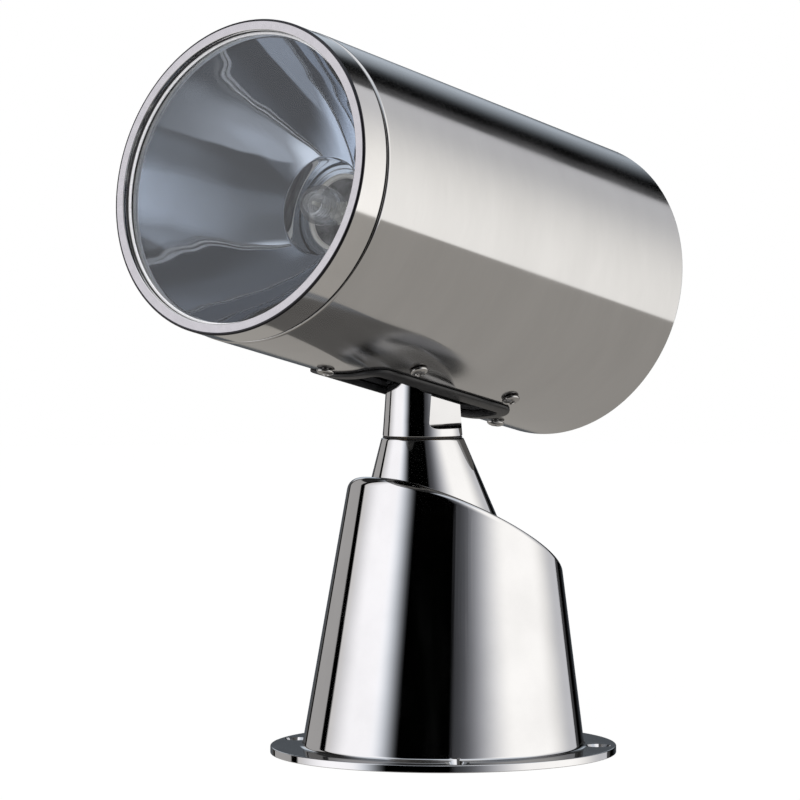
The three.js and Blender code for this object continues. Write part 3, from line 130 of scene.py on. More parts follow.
# Drum; distances along it count forward from the tilt axle
DRUM_RADIUS = 95.2
DRUM_BORE = 93.2
DRUM_REAR = -136.1
DRUM_FRONT = 166.2
SLOT_CENTRE = 1.7
SLOT_HALF_LENGTH = 62.7
SLOT_HALF_WIDTH = 22
SLOT_CORNER = 5
SCREW_PLACES = ((85.4, 0), (45.4, 40), (45.4, -40), (-48, 40), (-48, -40), (-86.6, 0))
APEX = 98
NECK_BORE = 29.6
SEAT = 90.4
RIM_FRONT = 176
RIM_RADIUS = 86
FOCAL = RIM_RADIUS**2 / (4 * (RIM_FRONT - APEX))
BOWL_WALL = 1.2
BOWL_FLOOR = 24  # the radius of the hole in its bottom
REAR_FACE = -135.1
CAP_RADIUS = 92.9
CARRIER_BORE = 87.5
BEZEL_RADIUS = 94.7
BEZEL_BORE = 88.1
BEZEL_REAR = 167.4
BEZEL_FRONT = 188.6
BEZEL_EDGE = 1.2
PAINTED_REFLECTION_FROM = 93.15  # the bezel's rounded front edge carries a painted dark reflection outside this radius
GASKET_BORE = 88.3
TRIM_RADIUS = 88.2
GLASS_SEAT = 182.9
GLASS_RADIUS = 90.4
GLASS_BACK = 178.3
GLASS_FRONT = 182.6
SCREW_HEAD = 5.5
SCREW_SHANK = 2.5


# ---------------------------------------------------------------- meshes

def turn(axis, degrees):
    return Matrix.Rotation(math.radians(degrees), 4, axis)


def shift(x, y, z):
    return Matrix.Translation(Vector((x, y, z)) * MM)


ALONG_DRUM = Matrix(((1, 0, 0, 0), (0, 0, -1, 0), (0, 1, 0, 0), (0, 0, 0, 1)))
DRUM = shift(0, STEM_Y, 0) @ turn("Z", PAN_REST) @ shift(0, 0, TILT_HEIGHT)
DRUM = DRUM @ turn("X", -TILT_REST) @ shift(0, 0, AXIS_OVER_PIVOT) @ ALONG_DRUM
STEM = shift(0, STEM_Y, 0) @ turn("Z", PAN_REST)


def make(name, points, faces, matrix=None):
    """An object from points in millimetres, with its doubles merged and its faces turned outwards."""
    mesh = bpy.data.meshes.new(name)
    mesh.from_pydata((np.asarray(points, float) * MM).tolist(), [], faces)
    work = bmesh.new()
    work.from_mesh(mesh)
    bmesh.ops.remove_doubles(work, verts=work.verts, dist=MERGE)
    bmesh.ops.dissolve_degenerate(work, edges=work.edges, dist=MERGE)
    bmesh.ops.recalc_face_normals(work, faces=work.faces)
    work.to_mesh(mesh)
    work.free()
    piece = bpy.data.objects.new(name, mesh)
    scene.collection.objects.link(piece)
    if matrix is not None:
        piece.matrix_world = matrix
    return piece


def skin(name, rings, matrix=None, closed=False):
    """Quads between equal rings; closed joins the last ring to the first, else they are capped."""
    rings = np.asarray(rings, float)
    count, sides = rings.shape[:2]
    faces = []
    for row in range(count if closed else count - 1):
        low, high = row * sides, (row + 1) % count * sides
        for side in range(sides):
            beside = (side + 1) % sides
            faces.append((low + side, low + beside, high + beside, high + side))
    if not closed:
        faces.append(tuple(range(sides)))
        faces.append(tuple(range((count - 1) * sides, count * sides)))
    return make(name, rings.reshape(-1, 3), faces, matrix)


def rounded(corners, steps=6):
    """A section of (across, along, fillet) corners with each fillet drawn as an arc."""
    corners = [(*corner, 0)[:3] for corner in corners]
    made = []
    for index, (across, along, fillet) in enumerate(corners):
        corner = np.array((across, along), float)
        if not fillet:
            made.append(corner)
            continue
        back = np.array(corners[index - 1][:2]) - corner
        ahead = np.array(corners[(index + 1) % len(corners)][:2]) - corner
        made += list(arc_between(corner + back, corner, corner + ahead, fillet, steps))
    return np.array(made)


def arc_between(before, corner, after, radius, steps, room=math.inf):
    """Points of a fillet at a corner between two others."""
    back = (before - corner) / np.linalg.norm(before - corner)
    ahead = (after - corner) / np.linalg.norm(after - corner)
    half = math.acos(np.clip(back @ ahead, -1, 1)) / 2
    reach = min(radius / math.tan(half), room)
    middle = (back + ahead) / np.linalg.norm(back + ahead)
    centre = corner + middle * reach / math.cos(half)
    start, end = corner + back * reach - centre, corner + ahead * reach - centre
    cosine = np.clip(start @ end / (np.linalg.norm(start) * np.linalg.norm(end)), -1, 1)
    sweep = math.acos(cosine)
    for step in range(steps + 1):
        share = step / steps
        first = math.sin((1 - share) * sweep) / math.sin(sweep)
        second = math.sin(share * sweep) / math.sin(sweep)
        yield centre + start * first + end * second


def quarter_turn(steps, first=1):
    """Angles up to a right angle; first=0 starts them at 0."""
    return [math.radians(90 * step / steps) for step in range(first, steps + 1)]


def lathe(name, section, sides=192, matrix=None, closed=True, steps=6):
    """A turned piece from (radius, height, fillet) corners; closed sections stay off the axis."""
    section = rounded(section, steps)
    angles = np.arange(sides) * 2 * math.pi / sides
    ring = np.stack((np.cos(angles), np.sin(angles)), 1)
    rings = [np.column_stack((ring * max(radius, 0), np.full(sides, height))) for radius, height in section]
    return skin(name, rings, matrix, closed)


def rod(name, radius, low, high, matrix=None, sides=48):
    return lathe(name, ((radius, low), (radius, high)), sides, matrix, closed=False)


def joined(name, pieces):
    """One tool from several that don't touch each other."""
    work = bmesh.new()
    for piece in pieces:
        mesh = piece.data
        mesh.transform(piece.matrix_world)
        work.from_mesh(mesh)
        bpy.data.objects.remove(piece)
    mesh = bpy.data.meshes.new(name)
    work.to_mesh(mesh)
    work.free()
    tool = bpy.data.objects.new(name, mesh)
    scene.collection.objects.link(tool)
    return tool


def settle(piece):
    """Puts the result of the piece's modifiers in its mesh."""
    bpy.context.view_layer.update()
    graph = bpy.context.evaluated_depsgraph_get()
    mesh = bpy.data.meshes.new_from_object(piece.evaluated_get(graph))
    piece.modifiers.clear()
    piece.data = mesh
    mesh.name = piece.name
    return piece


def boolean(piece, tool, operation="DIFFERENCE", keep=False):
    modifier = piece.modifiers.new("boolean", "BOOLEAN")
    modifier.operation = operation
    modifier.solver = "EXACT"
    modifier.object = tool
    settle(piece)
    if not keep:
        bpy.data.objects.remove(tool)
    return piece


def bevelled(piece, width, segments=3, angle=40):
    modifier = piece.modifiers.new("bevel", "BEVEL")
    modifier.width = width * MM
    modifier.segments = segments
    modifier.limit_method = "ANGLE"
    modifier.angle_limit = math.radians(angle)
    modifier.use_clamp_overlap = True
    return settle(piece)


def finished(piece, body, material, replaced=(), weighted=True):
    """Smooth shading with sharp edges kept, the material, and what the piece stands for."""
    piece.data.shade_smooth()
    piece.data.set_sharp_from_angle(angle=SMOOTH_ANGLE)
    if weighted:
        modifier = piece.modifiers.new("normals", "WEIGHTED_NORMAL")
        modifier.keep_sharp = True
        settle(piece)
    piece.data.materials.clear()
    piece.data.materials.append(material)
    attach(piece, body)
    if replaced:
        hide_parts(*replaced)
    return piece


# ---------------------------------------------------------------- shaders

class Graph:
    """Short calls for a node tree: each value is a number, a tuple or an output socket."""

    def __init__(self, tree):
        self.tree = tree
        tree.nodes.clear()

    def put(self, socket, value):
        if isinstance(value, bpy.types.NodeSocket):
            self.tree.links.new(value, socket)
        elif value is not None:
            socket.default_value = value

    def node(self, kind, inputs=None, **settings):
        made = self.tree.nodes.new(kind)
        for key, value in settings.items():
            setattr(made, key, value)
        for key, value in (inputs or {}).items():
            self.put(made.inputs[key], value)
        return made

    def maths(self, operation, *values):
        return self.node("ShaderNodeMath", dict(enumerate(values)), operation=operation).outputs[0]

    def ramp(self, value, low, high, to_low=0.0, to_high=1.0):
        keys = {"Value": value, "From Min": low, "From Max": high, "To Min": to_low, "To Max": to_high}
        return self.node("ShaderNodeMapRange", keys, interpolation_type="SMOOTHSTEP").outputs[0]

    def line(self, value, low, high, to_low=0.0, to_high=1.0):
        keys = {"Value": value, "From Min": low, "From Max": high, "To Min": to_low, "To Max": to_high}
        return self.node("ShaderNodeMapRange", keys).outputs[0]

    def product(self, first, *others):
        for other in others:
            first = self.maths("MULTIPLY", first, other)
        return first

    def total(self, first, *others):
        for other in others:
            first = self.maths("ADD", first, other)
        return first

    def mix(self, factor, first, second):
        """A blend of two colours, whose sockets on a Mix node are inputs 6 and 7 and output 2."""
        made = self.node("ShaderNodeMix", data_type="RGBA")
        self.put(made.inputs[0], factor)
        self.put(made.inputs[6], first)
        self.put(made.inputs[7], second)
        return made.outputs[2]

    def noise(self, vector, scale, detail=2.0, roughness=0.5):
        keys = {"Vector": vector, "Scale": scale, "Detail": detail, "Roughness": roughness}
        return self.node("ShaderNodeTexNoise", keys).outputs[0]

    def bump(self, height, strength, distance):
        keys = {"Height": height, "Strength": strength, "Distance": distance}
        return self.node("ShaderNodeBump", keys).outputs[0]

    def scaled(self, vector, factors):
        keys = {0: vector, 1: factors}
        return self.node("ShaderNodeVectorMath", keys, operation="MULTIPLY").outputs[0]

    def dimmed(self, vector, level):
        keys = {0: vector, "Scale": level}
        return self.node("ShaderNodeVectorMath", keys, operation="SCALE").outputs[0]

    def place(self):
        return self.node("ShaderNodeTexCoord").outputs["Object"]

    def split(self, vector):
        return self.node("ShaderNodeSeparateXYZ", {0: vector}).outputs

    def joined(self, x, y, z):
        return self.node("ShaderNodeCombineXYZ", {0: x, 1: y, 2: z}).outputs[0]


def grey(level):
    return (level, level, level, 1)


def principled(name, colour, roughness, metallic=0.0, **settings):
    """A material and its graph; the settings are constants on the shader's own sockets."""
    material = bpy.data.materials.new(name)
    material.use_nodes = True
    graph = Graph(material.node_tree)
    shader = graph.node("ShaderNodeBsdfPrincipled")
    output = graph.node("ShaderNodeOutputMaterial")
    graph.put(output.inputs[0], shader.outputs[0])
    material.diffuse_color = (*colour[:3], 1)
    shader.inputs["Base Color"].default_value = (*colour[:3], 1)
    shader.inputs["Roughness"].default_value = roughness
    shader.inputs["Metallic"].default_value = metallic
    for key, value in settings.items():
        shader.inputs[key.replace("_", " ")].default_value = value
    return material, graph, shader


def tint(graph, shader, factor, first, second):
    graph.put(shader.inputs["Base Color"], graph.mix(factor, first, second))


def polished(name, colour, roughness=0.03, smudge=0.05, wave_rate=55.0, wave_depth=0.0002):
    """Mirror-polished metal with faint buffing waves, wiped smudges and hairline scratches."""
    material, graph, shader = principled(name, colour, roughness, 1.0)
    place = graph.place()
    cloud = graph.noise(place, 28.0, 4.0)
    wiped = graph.noise(graph.scaled(place, (60.0, 60.0, 9.0)), 1.0, 3.0)
    hair = graph.noise(graph.scaled(place, (900.0, 900.0, 60.0)), 1.0, 2.0)
    scratch = graph.ramp(hair, 0.68, 0.8)
    shade = graph.ramp(cloud, 0.3, 0.75)
    darker = tuple(0.93 * part for part in colour)
    tint(graph, shader, shade, (*colour, 1), (*darker, 1))
    smear = graph.product(graph.ramp(wiped, 0.45, 0.75), smudge)
    rough = graph.total(smear, roughness, graph.product(scratch, 0.06))
    graph.put(shader.inputs["Roughness"], rough)
    wave = graph.noise(place, wave_rate, 1.0)
    graph.put(shader.inputs["Normal"], graph.bump(wave, 0.05, wave_depth))
    return material


def brushed(name, colour, roughness, anisotropy, around=True):
    """Satin metal with its grain round the piece's own Z axis, or rings on a flat face."""
    material, graph, shader = principled(name, colour, roughness, 1.0, Anisotropic=anisotropy)
    x, y, z = graph.split(graph.place())
    angle = graph.maths("ARCTAN2", y, x)
    radius = graph.maths("SQRT", graph.total(graph.product(x, x), graph.product(y, y)))
    across = z if around else radius
    turned_round = graph.joined(graph.maths("COSINE", angle), graph.maths("SINE", angle), across)
    grain = graph.noise(graph.scaled(turned_round, (5.0, 5.0, 5200.0)), 1.0, 3.0, 0.7)
    bands = graph.noise(graph.scaled(turned_round, (1.5, 1.5, 40.0)), 1.0, 2.0)
    cloud = graph.noise(graph.place(), 14.0, 3.0)
    level = graph.total(graph.product(grain, 0.5), graph.product(bands, 0.5))
    darker = tuple(0.93 * part for part in colour)
    tint(graph, shader, graph.ramp(level, 0.3, 0.7), (*darker, 1), (*colour, 1))
    rough = graph.line(cloud, 0.3, 0.7, roughness - 0.015, roughness + 0.02)
    rough = graph.total(rough, graph.line(grain, 0.3, 0.7, -0.02, 0.02))
    graph.put(shader.inputs["Roughness"], rough)
    graph.put(shader.inputs["Normal"], graph.bump(grain, 0.04, 0.00002))
    if around:
        shader.inputs["Anisotropic Rotation"].default_value = 0.25
        tangent = graph.node("ShaderNodeTangent", direction_type="RADIAL", axis="Z")
        graph.put(shader.inputs["Tangent"], tangent.outputs[0])
    return material


def speckled(name, colour, roughness, metallic, scale, depth, spread=0.12, **settings):
    """A cast, moulded, plated or sintered surface: grain in its colour, roughness and relief."""
    material, graph, shader = principled(name, colour, roughness, metallic, **settings)
    place = graph.place()
    coarse = graph.noise(place, scale * 0.12, 4.0)
    fine = graph.noise(place, scale, 4.0, 0.6)
    factor = graph.total(graph.product(coarse, 0.6), graph.product(fine, 0.4))
    darker = tuple(part * (1 - spread) for part in colour)
    lighter = tuple(min(1.0, part * (1 + spread)) for part in colour)
    tint(graph, shader, graph.ramp(factor, 0.35, 0.65), (*darker, 1), (*lighter, 1))
    graph.put(shader.inputs["Roughness"], graph.line(fine, 0.3, 0.7, roughness - 0.06, roughness + 0.06))
    graph.put(shader.inputs["Normal"], graph.bump(fine, 0.25, depth * MM))
    return material


def clear_glass(name, colour, ior, **more):
    """Clear glass with a trace of haze and very slight waviness."""
    settings = {"Transmission_Weight": 1.0, "IOR": ior, **more}
    material, graph, shader = principled(name, colour, 0.0, 0.0, **settings)
    place = graph.place()
    haze = graph.noise(place, 40.0, 3.0)
    graph.put(shader.inputs["Roughness"], graph.ramp(haze, 0.55, 0.9, 0.0, 0.03))
    graph.put(shader.inputs["Normal"], graph.bump(graph.noise(place, 18.0, 1.0), 0.03, 0.0002))
    return material


# Polished: name, colour, roughness, smudges, rate and depth of the buffing waves
steel = polished("polished_steel", (0.86, 0.86, 0.87))
bezel_steel = polished("bezel_steel", (0.88, 0.87, 0.86), 0.09, 0.04)
mirror = polished("reflector_mirror", (0.80, 0.84, 0.90), 0.03, 0.03, 26.0, 0.013)
lamp_metal = polished("lamp_metal", (0.72, 0.74, 0.76), 0.06, 0.05)
# Near-black polished metal for the bezel's rounded front edge: a painted dark reflection, not the steel's
# own colour
painted_dark_reflection = polished("painted_dark_reflection", (0.045, 0.045, 0.05), 0.12, 0.05)
screw_steel = polished("screw_steel", (0.60, 0.59, 0.58), 0.07, 0.06)

# Brushed: name, colour, roughness, anisotropy
satin = brushed("brushed_steel", (0.77, 0.765, 0.76), 0.1, 0.85)
satin_flat = brushed("brushed_steel_face", (0.77, 0.765, 0.76), 0.24, 0.0, around=False)

# Glass: name, colour, index of refraction
lens_glass = clear_glass("lens_glass", (0.985, 0.995, 1.0), 1.45)
bulb_glass = clear_glass("bulb_glass", (0.97, 0.98, 1.0), 1.46, Transmission_Weight=0.93, Alpha=0.5)

# Speckled: name, colour, roughness, metallic, rate and depth of the grain, spread of the colour
rubber = speckled("rubber", (0.014, 0.014, 0.015), 0.36, 0.0, 900.0, 0.03, 0.25)
zinc = speckled("inner_steel", (0.56, 0.57, 0.58), 0.34, 1.0, 500.0, 0.02)
bronze = speckled("bronze", (0.62, 0.45, 0.25), 0.33, 1.0, 700.0, 0.02)
black_steel = speckled("black_steel", (0.04, 0.04, 0.043), 0.45, 0.0, 1100.0, 0.03)
ceramic = speckled("ceramic", (0.82, 0.80, 0.75), 0.6, 0.0, 800.0, 0.03, 0.05)
acetal = speckled("acetal", (0.86, 0.85, 0.82), 0.4, 0.0, 300.0, 0.01, 0.03)
bezel_face = speckled("bezel_face", (0.56, 0.55, 0.58), 0.24, 1.0, 1500.0, 0.004, 0.04)
# Silver seal paint, matt and near white so that it is bright from every side: its own colour and also a
# painted highlight of the glass's edge
silver_and_highlight = speckled("silver_seal_and_highlight", (0.90, 0.90, 0.92), 0.3, 0.1, 900.0, 0.01, 0.05)
lamp_plate = speckled("lamp_plate", (0.13, 0.13, 0.133), 0.5, 0.0, 1100.0, 0.15, 0.7)
lamp_enamel = speckled("lamp_enamel", (0.88, 0.85, 0.81), 0.4, 0.0, 700.0, 0.02, 0.05)
filament = speckled("filament", (0.95, 0.94, 0.92), 0.16, 0.7, 2500.0, 0.01, 0.04)
SLOT_MATERIALS = {
    "polished_steel": steel,
    "brushed_steel": satin,
    "bezel_steel": bezel_steel,
    "reflector_mirror": mirror,
    "lamp_metal": lamp_metal,
    "lens_glass": lens_glass,
    "bulb_glass": bulb_glass,
    "rubber": rubber,
    "inner_steel": zinc,
    "bronze": bronze,
    "black_steel": black_steel,
    "ceramic": ceramic,
    "acetal": acetal,
}
for part in frame["record"]["subparts"]:
    node = frame["nodes"].get(part["node"])
    if node:
        node.data.materials.clear()
        node.data.materials.append(SLOT_MATERIALS[part["material_slot"]])


# ---------------------------------------------------------------- pedestal

def body_point(angle, height, inset=0.0):
    """A point of the body's leaning cone."""
    rise = height - FLANGE_THICKNESS
    radius = BODY_FOOT_RADIUS - BODY_TAPER * rise - inset
    return np.array((radius * math.cos(angle), BODY_LEAN * rise + radius * math.sin(angle), height))


def neck_point(angle, height, inset=0.0):
    """A point of the neck's leaning cone."""
    drop = NECK_HEIGHT - height
    radius = NECK_TOP_RADIUS + NECK_TAPER * drop - inset
    y = NECK_LEAN * drop + STEM_Y + radius * math.sin(angle)
    return np.array((radius * math.cos(angle), y, height))


def on_top(line, angle, inset=0.0, depth=0.0):
    """Where a cone's line at one angle meets the slanted top, lowered by a depth."""
    low, high = line(angle, 0, inset), line(angle, NECK_HEIGHT, inset)
    over_low = low[2] + TOP_SLOPE * low[1] - TOP_HEIGHT + depth
    over_high = high[2] + TOP_SLOPE * high[1] - TOP_HEIGHT + depth
    return low + (high - low) * over_low / (over_low - over_high)


def round_places(radius, angles, centre_y=0.0):
    """Places (x, y) on a circle, at angles in degrees."""
    turns = [math.radians(angle) for angle in angles]
    return [(radius * math.cos(angle), centre_y + radius * math.sin(angle)) for angle in turns]


def rods(name, radius, span, places, sides=48):
    return [rod(name, radius, *span, shift(x, y, 0), sides) for x, y in places]


def pedestal_outside():
    """The flange, the leaning body, its slanted top and the neck."""
    angles = np.arange(PEDESTAL_SIDES) * 2 * math.pi / PEDESTAL_SIDES

    def disc(radius, height):
        return [(radius * math.cos(angle), radius * math.sin(angle), height) for angle in angles]

    shoulders, feet = [], []
    for angle in angles:
        rim, foot = on_top(body_point, angle), on_top(neck_point, angle)
        low, high = body_point(angle, 0), neck_point(angle, NECK_HEIGHT)
        span = np.linalg.norm(rim - foot)
        shoulders.append(list(arc_between(low, rim, foot, SHOULDER_FILLET, 12, SHOULDER_ROOM * span)))
        feet.append(list(arc_between(rim, foot, high, NECK_FOOT_FILLET, 8, NECK_FOOT_ROOM * span)))

    edge = rounded((
        (0, 0), (FLANGE_RADIUS, 0, FLANGE_FOOT_EDGE), (FLANGE_RADIUS, FLANGE_THICKNESS, FLANGE_EDGE),
        (UNDER_BODY, FLANGE_THICKNESS),
    ))
    rings = [disc(*corner) for corner in edge[1:-1]]
    for quarter in quarter_turn(6, first=0):
        out = BODY_FOOT_FILLET * (1 - math.sin(quarter))
        height = FLANGE_THICKNESS + BODY_FOOT_FILLET * (1 - math.cos(quarter))
        rings.append([body_point(angle, height, -out) for angle in angles])
    rings += [[body_point(angle, height) for angle in angles] for height in BODY_RINGS]
    rings += list(np.array(shoulders).transpose(1, 0, 2))
    rings += list(np.array(feet).transpose(1, 0, 2))
    rings += [[neck_point(angle, height) for angle in angles] for height in NECK_RINGS]
    for quarter in quarter_turn(4):
        height = NECK_HEIGHT - NECK_EDGE * (1 - math.sin(quarter))
        inset = NECK_EDGE * (1 - math.cos(quarter))
        rings.append([neck_point(angle, height, inset) for angle in angles])
    return skin("pedestal", rings)


def pedestal_cavity():
    """The hollow, a wall's thickness inside the cones and the slanted top."""
    angles = np.arange(CAVITY_SIDES) * 2 * math.pi / CAVITY_SIDES
    body_wall, neck_wall = WALL * math.hypot(1, BODY_TAPER), WALL * math.hypot(1, NECK_TAPER)
    top_wall = WALL * math.hypot(1, TOP_SLOPE)
    return skin("cavity", [
        [body_point(angle, CAVITY_BOTTOM, body_wall) for angle in angles],
        [on_top(body_point, angle, body_wall, top_wall) for angle in angles],
        [on_top(neck_point, angle, neck_wall, top_wall) for angle in angles],
        [neck_point(angle, CAVITY_TOP, neck_wall) for angle in angles],
    ])


def pedestal():
    outside = pedestal_outside()
    cavity = pedestal_cavity()
    column_places = round_places(COLUMN_CIRCLE, COLUMN_ANGLES, COLUMN_CENTRE_Y)
    boss_places = round_places(BOSS_CIRCLE, BOSS_ANGLES)
    columns = joined("columns", rods("column", COLUMN_RADIUS, COLUMN_SPAN, column_places))
    boolean(columns, outside, "INTERSECT", keep=True)
    housing = boolean(outside, cavity)
    boolean(housing, columns, "UNION")
    boolean(housing, rod("recess", COVER_RECESS, -OVERRUN, COVER_RECESS_TOP, sides=PEDESTAL_SIDES))
    boolean(housing, joined("bosses", rods("boss", BOSS_RADIUS, BOSS_SPAN, boss_places)), "UNION")

    tools = rods("hole", SCREW_HOLE, BOSS_HOLE_SPAN, boss_places, 24)
    tools += rods("hole", SCREW_HOLE, COLUMN_HOLE_SPAN, column_places, 24)
    low, high = BORE_SPAN
    bore = (
        (0, low), (BUSH_BORE, low), (BUSH_BORE, SEAL_BORE_FOOT), (SEAL_BORE, SEAL_BORE_FOOT),
        (SEAL_BORE, high), (0, high),
    )
    tools.append(lathe("bore", bore, 96, shift(0, STEM_Y, 0), closed=False))
    over = 2
    countersink = (
        (0, -OVERRUN), (HOLE_RADIUS, -OVERRUN),
        (HOLE_RADIUS, FLANGE_THICKNESS - (COUNTERSINK - HOLE_RADIUS)),
        (COUNTERSINK + over, FLANGE_THICKNESS + over), (0, FLANGE_THICKNESS + over),
    )
    for x, y in round_places(HOLE_CIRCLE, [angle - 90 for angle in HOLE_ANGLES]):
        tools.append(lathe("countersink", countersink, 64, shift(x, y, 0), closed=False))
    return boolean(housing, joined("holes", tools))


finished(pedestal(), "base", steel, ["base_housing"])
seal = lathe("stem_seal_ring", (
    (21.6, 196.0, 0.2), (24.6, 196.0, 0.3), (24.6, 196.7, 0.3), (21.6, 196.7, 0.2),
), 128, shift(0, STEM_Y, 0))
finished(seal, "base", rubber, ["stem_seal"])


# ---------------------------------------------------------------- stem

def stem():
    """A tapered round stem with a milled flat on each side, above a rounded ledge."""
    top_radius = STEM_RADIUS - STEM_TAPER * (TILT_HEIGHT - STEM_BOTTOM)
    full_flats = LEDGE + LEDGE_FILLET

    def round_radius(height):
        if height <= TILT_HEIGHT:
            return STEM_RADIUS - STEM_TAPER * (height - STEM_BOTTOM)
        return math.sqrt(max(0.0, top_radius**2 - (height - TILT_HEIGHT) ** 2))

    def flat_at(height):
        if height >= full_flats:
            return FLAT_X
        return FLAT_X + LEDGE_FILLET - math.sqrt(LEDGE_FILLET**2 - (full_flats - height) ** 2)

    def ring(height, radius, flat):
        """Points round the stem; without a flat they are spaced as those above the ledge are."""
        if not flat:
            start = math.acos(flat_at(LEDGE) / round_radius(LEDGE))
        elif flat < radius:
            start = math.acos(min(0.9999, flat / radius))
        else:
            start = 0.01
        across = np.linspace(-start, start, FLAT_POINTS)
        along = np.linspace(start, math.pi - start, ROUND_POINTS + 2)[1:-1]
        turns = np.concatenate((across, along, across + math.pi, along + math.pi))
        points = []
        for index, angle in enumerate(turns):
            reach = radius
            on_flat = index % (FLAT_POINTS + ROUND_POINTS) < FLAT_POINTS
            if flat and on_flat and flat < radius:
                reach = min(radius, flat / abs(math.cos(angle)))
            points.append((reach * math.cos(angle), reach * math.sin(angle), height))
        return points

    inner = STEM_RADIUS - STEM_FOOT_EDGE
    rings = [ring(STEM_BOTTOM, inner, None)]
    for quarter in quarter_turn(4):
        height = STEM_BOTTOM + STEM_FOOT_EDGE * (1 - math.cos(quarter))
        rings.append(ring(height, inner + STEM_FOOT_EDGE * math.sin(quarter), None))
    rings.append(ring(LEDGE, round_radius(LEDGE), None))
    for quarter in quarter_turn(12, first=0):
        height = LEDGE + LEDGE_FILLET * (1 - math.cos(quarter))
        rings.append(ring(height, round_radius(height), flat_at(height)))
    for height in np.linspace(full_flats, TILT_HEIGHT, 9)[1:]:
        rings.append(ring(height, round_radius(height), FLAT_X))
    for quarter in quarter_turn(12)[:-1]:
        height = TILT_HEIGHT + top_radius * math.sin(quarter)
        rings.append(ring(height, round_radius(height), FLAT_X))
    piece = skin("stem_post", rings, STEM)
    bevelled(piece, 0.45, 3, 25)

    bore = (
        (0, SOCKET_FOOT), (SOCKET_RADIUS, SOCKET_FOOT), (SOCKET_RADIUS, SOCKET_TOP),
        (WIRE_BORE, SOCKET_TOP), (WIRE_BORE, WIRE_BORE_TOP), (0, WIRE_BORE_TOP),
    )
    window = STEM @ shift(0, 0, TILT_HEIGHT - WINDOW_DROP) @ turn("X", -90)
    axle = STEM @ shift(0, 0, TILT_HEIGHT) @ turn("Y", 90)
    boolean(piece, lathe("bore", bore, 64, STEM, closed=False))
    boolean(piece, rod("window", WINDOW_RADIUS, 0, STEM_REACH, window))
    return boolean(piece, rod("axle_hole", AXLE_HOLE, -STEM_REACH, STEM_REACH, axle))


finished(stem(), "turret", steel, ["stem"])


# ---------------------------------------------------------------- drum

def slot_outline(margin, corner_steps=10, side_steps=24):
    """Points (x, forward) and outward normals round the slot, grown by a margin."""
    half_width, half_length = SLOT_HALF_WIDTH + margin, SLOT_HALF_LENGTH + margin
    corner = SLOT_CORNER + margin
    places = []
    centres = ((1, 1), (-1, 1), (-1, -1), (1, -1))
    for index, (side, end) in enumerate(centres):
        for step in range(corner_steps + 1):
            angle = math.radians(90 * (index + step / corner_steps))
            x = side * (half_width - corner) + corner * math.cos(angle)
            forward = SLOT_CENTRE + end * (half_length - corner) + corner * math.sin(angle)
            places.append((x, forward, math.cos(angle), math.sin(angle)))
    filled = []
    for here, there in zip(places, places[1:] + places[:1]):
        filled.append(here)
        long_way = math.dist(here[:2], there[:2]) > corner
        for step in range(1, side_steps if long_way else 1):
            share = step / side_steps
            filled.append(tuple(a + (b - a) * share for a, b in zip(here, there)))
    return filled


def slot_prism(margin):
    outline = slot_outline(margin, 10, 1)
    rings = [[(x, level, forward) for x, forward, *_ in outline] for level in (-110, -40)]
    return skin("slot_tool", rings, DRUM)


def screw_matrix(forward, arc):
    around = Matrix.Rotation(arc / DRUM_RADIUS, 4, "Z")
    return DRUM @ shift(0, 0, forward) @ around @ shift(0, -DRUM_RADIUS, 0) @ turn("X", -90)


def head_tube():
    """The drum with its slot and screw holes; the rings along it keep its long faces even."""
    section = [(DRUM_BORE, DRUM_REAR, 0.5), (DRUM_RADIUS, DRUM_REAR, 1.2)]
    section += [(DRUM_RADIUS, place) for place in np.linspace(-110, 140, 11)]
    section += [(DRUM_RADIUS, DRUM_FRONT, 1.5), (DRUM_BORE, DRUM_FRONT, 0.4)]
    tube = lathe("drum_tube", section, 256, DRUM)
    boolean(tube, slot_prism(4))
    holes = [rod("hole", 2.8, -OVERRUN, OVERRUN, screw_matrix(*place), 24) for place in SCREW_PLACES]
    return boolean(tube, joined("holes", holes))


finished(head_tube(), "head", satin, ["head_tube"])

cover = lathe("rear_cap", (
    (0, REAR_FACE + 2.5), (70, REAR_FACE + 2.5, 2), (72.5, REAR_FACE, 2), (CAP_RADIUS, REAR_FACE, 3),
    (CAP_RADIUS, -127.7), (91.1, -127.7), (91.1, -123.1), (89.1, -123.1), (89.1, REAR_FACE + 5, 1),
    (70, REAR_FACE + 4.5), (0, REAR_FACE + 4.5),
), 192, DRUM, closed=False)
finished(cover, "head", satin_flat, ["rear_cover"])

bezel = lathe("bezel_ring", (
    (92.5, BEZEL_REAR, 0.2), (BEZEL_RADIUS, BEZEL_REAR, BEZEL_EDGE),
    (BEZEL_RADIUS, BEZEL_FRONT, BEZEL_EDGE), (PAINTED_REFLECTION_FROM, BEZEL_FRONT),
    (BEZEL_BORE, BEZEL_FRONT, 0.5), (BEZEL_BORE, 186.0, 0.3), (92.5, 186.0),
), 256, DRUM)
finished(bezel, "head", bezel_steel, ["bezel"])
# The outer part of the front edge takes the near-black metal, which paints the dark reflection of its
# rounding
bezel.data.materials.append(painted_dark_reflection)
bezel.data.materials.append(bezel_face)
for face in bezel.data.polygons:
    across = math.hypot(face.center.x, face.center.y) / MM
    if face.center.z > (BEZEL_FRONT - BEZEL_EDGE) * MM and across > PAINTED_REFLECTION_FROM:
        face.material_index = 1
    elif face.center.z > (BEZEL_FRONT - 0.6) * MM and across > BEZEL_BORE + 0.4:
        face.material_index = 2

gasket = lathe("lens_gasket", (
    (GASKET_BORE, 176.3, 0.4), (92.2, 176.3), (92.2, 185.7, 0.3), (GASKET_BORE, 185.7, 0.5),
    (GASKET_BORE, GLASS_SEAT, 0.4), (90.7, GLASS_SEAT), (90.7, 178.0), (GASKET_BORE, 178.0, 0.4),
), 192, DRUM)
finished(gasket, "head", rubber, ["glass_gasket"])
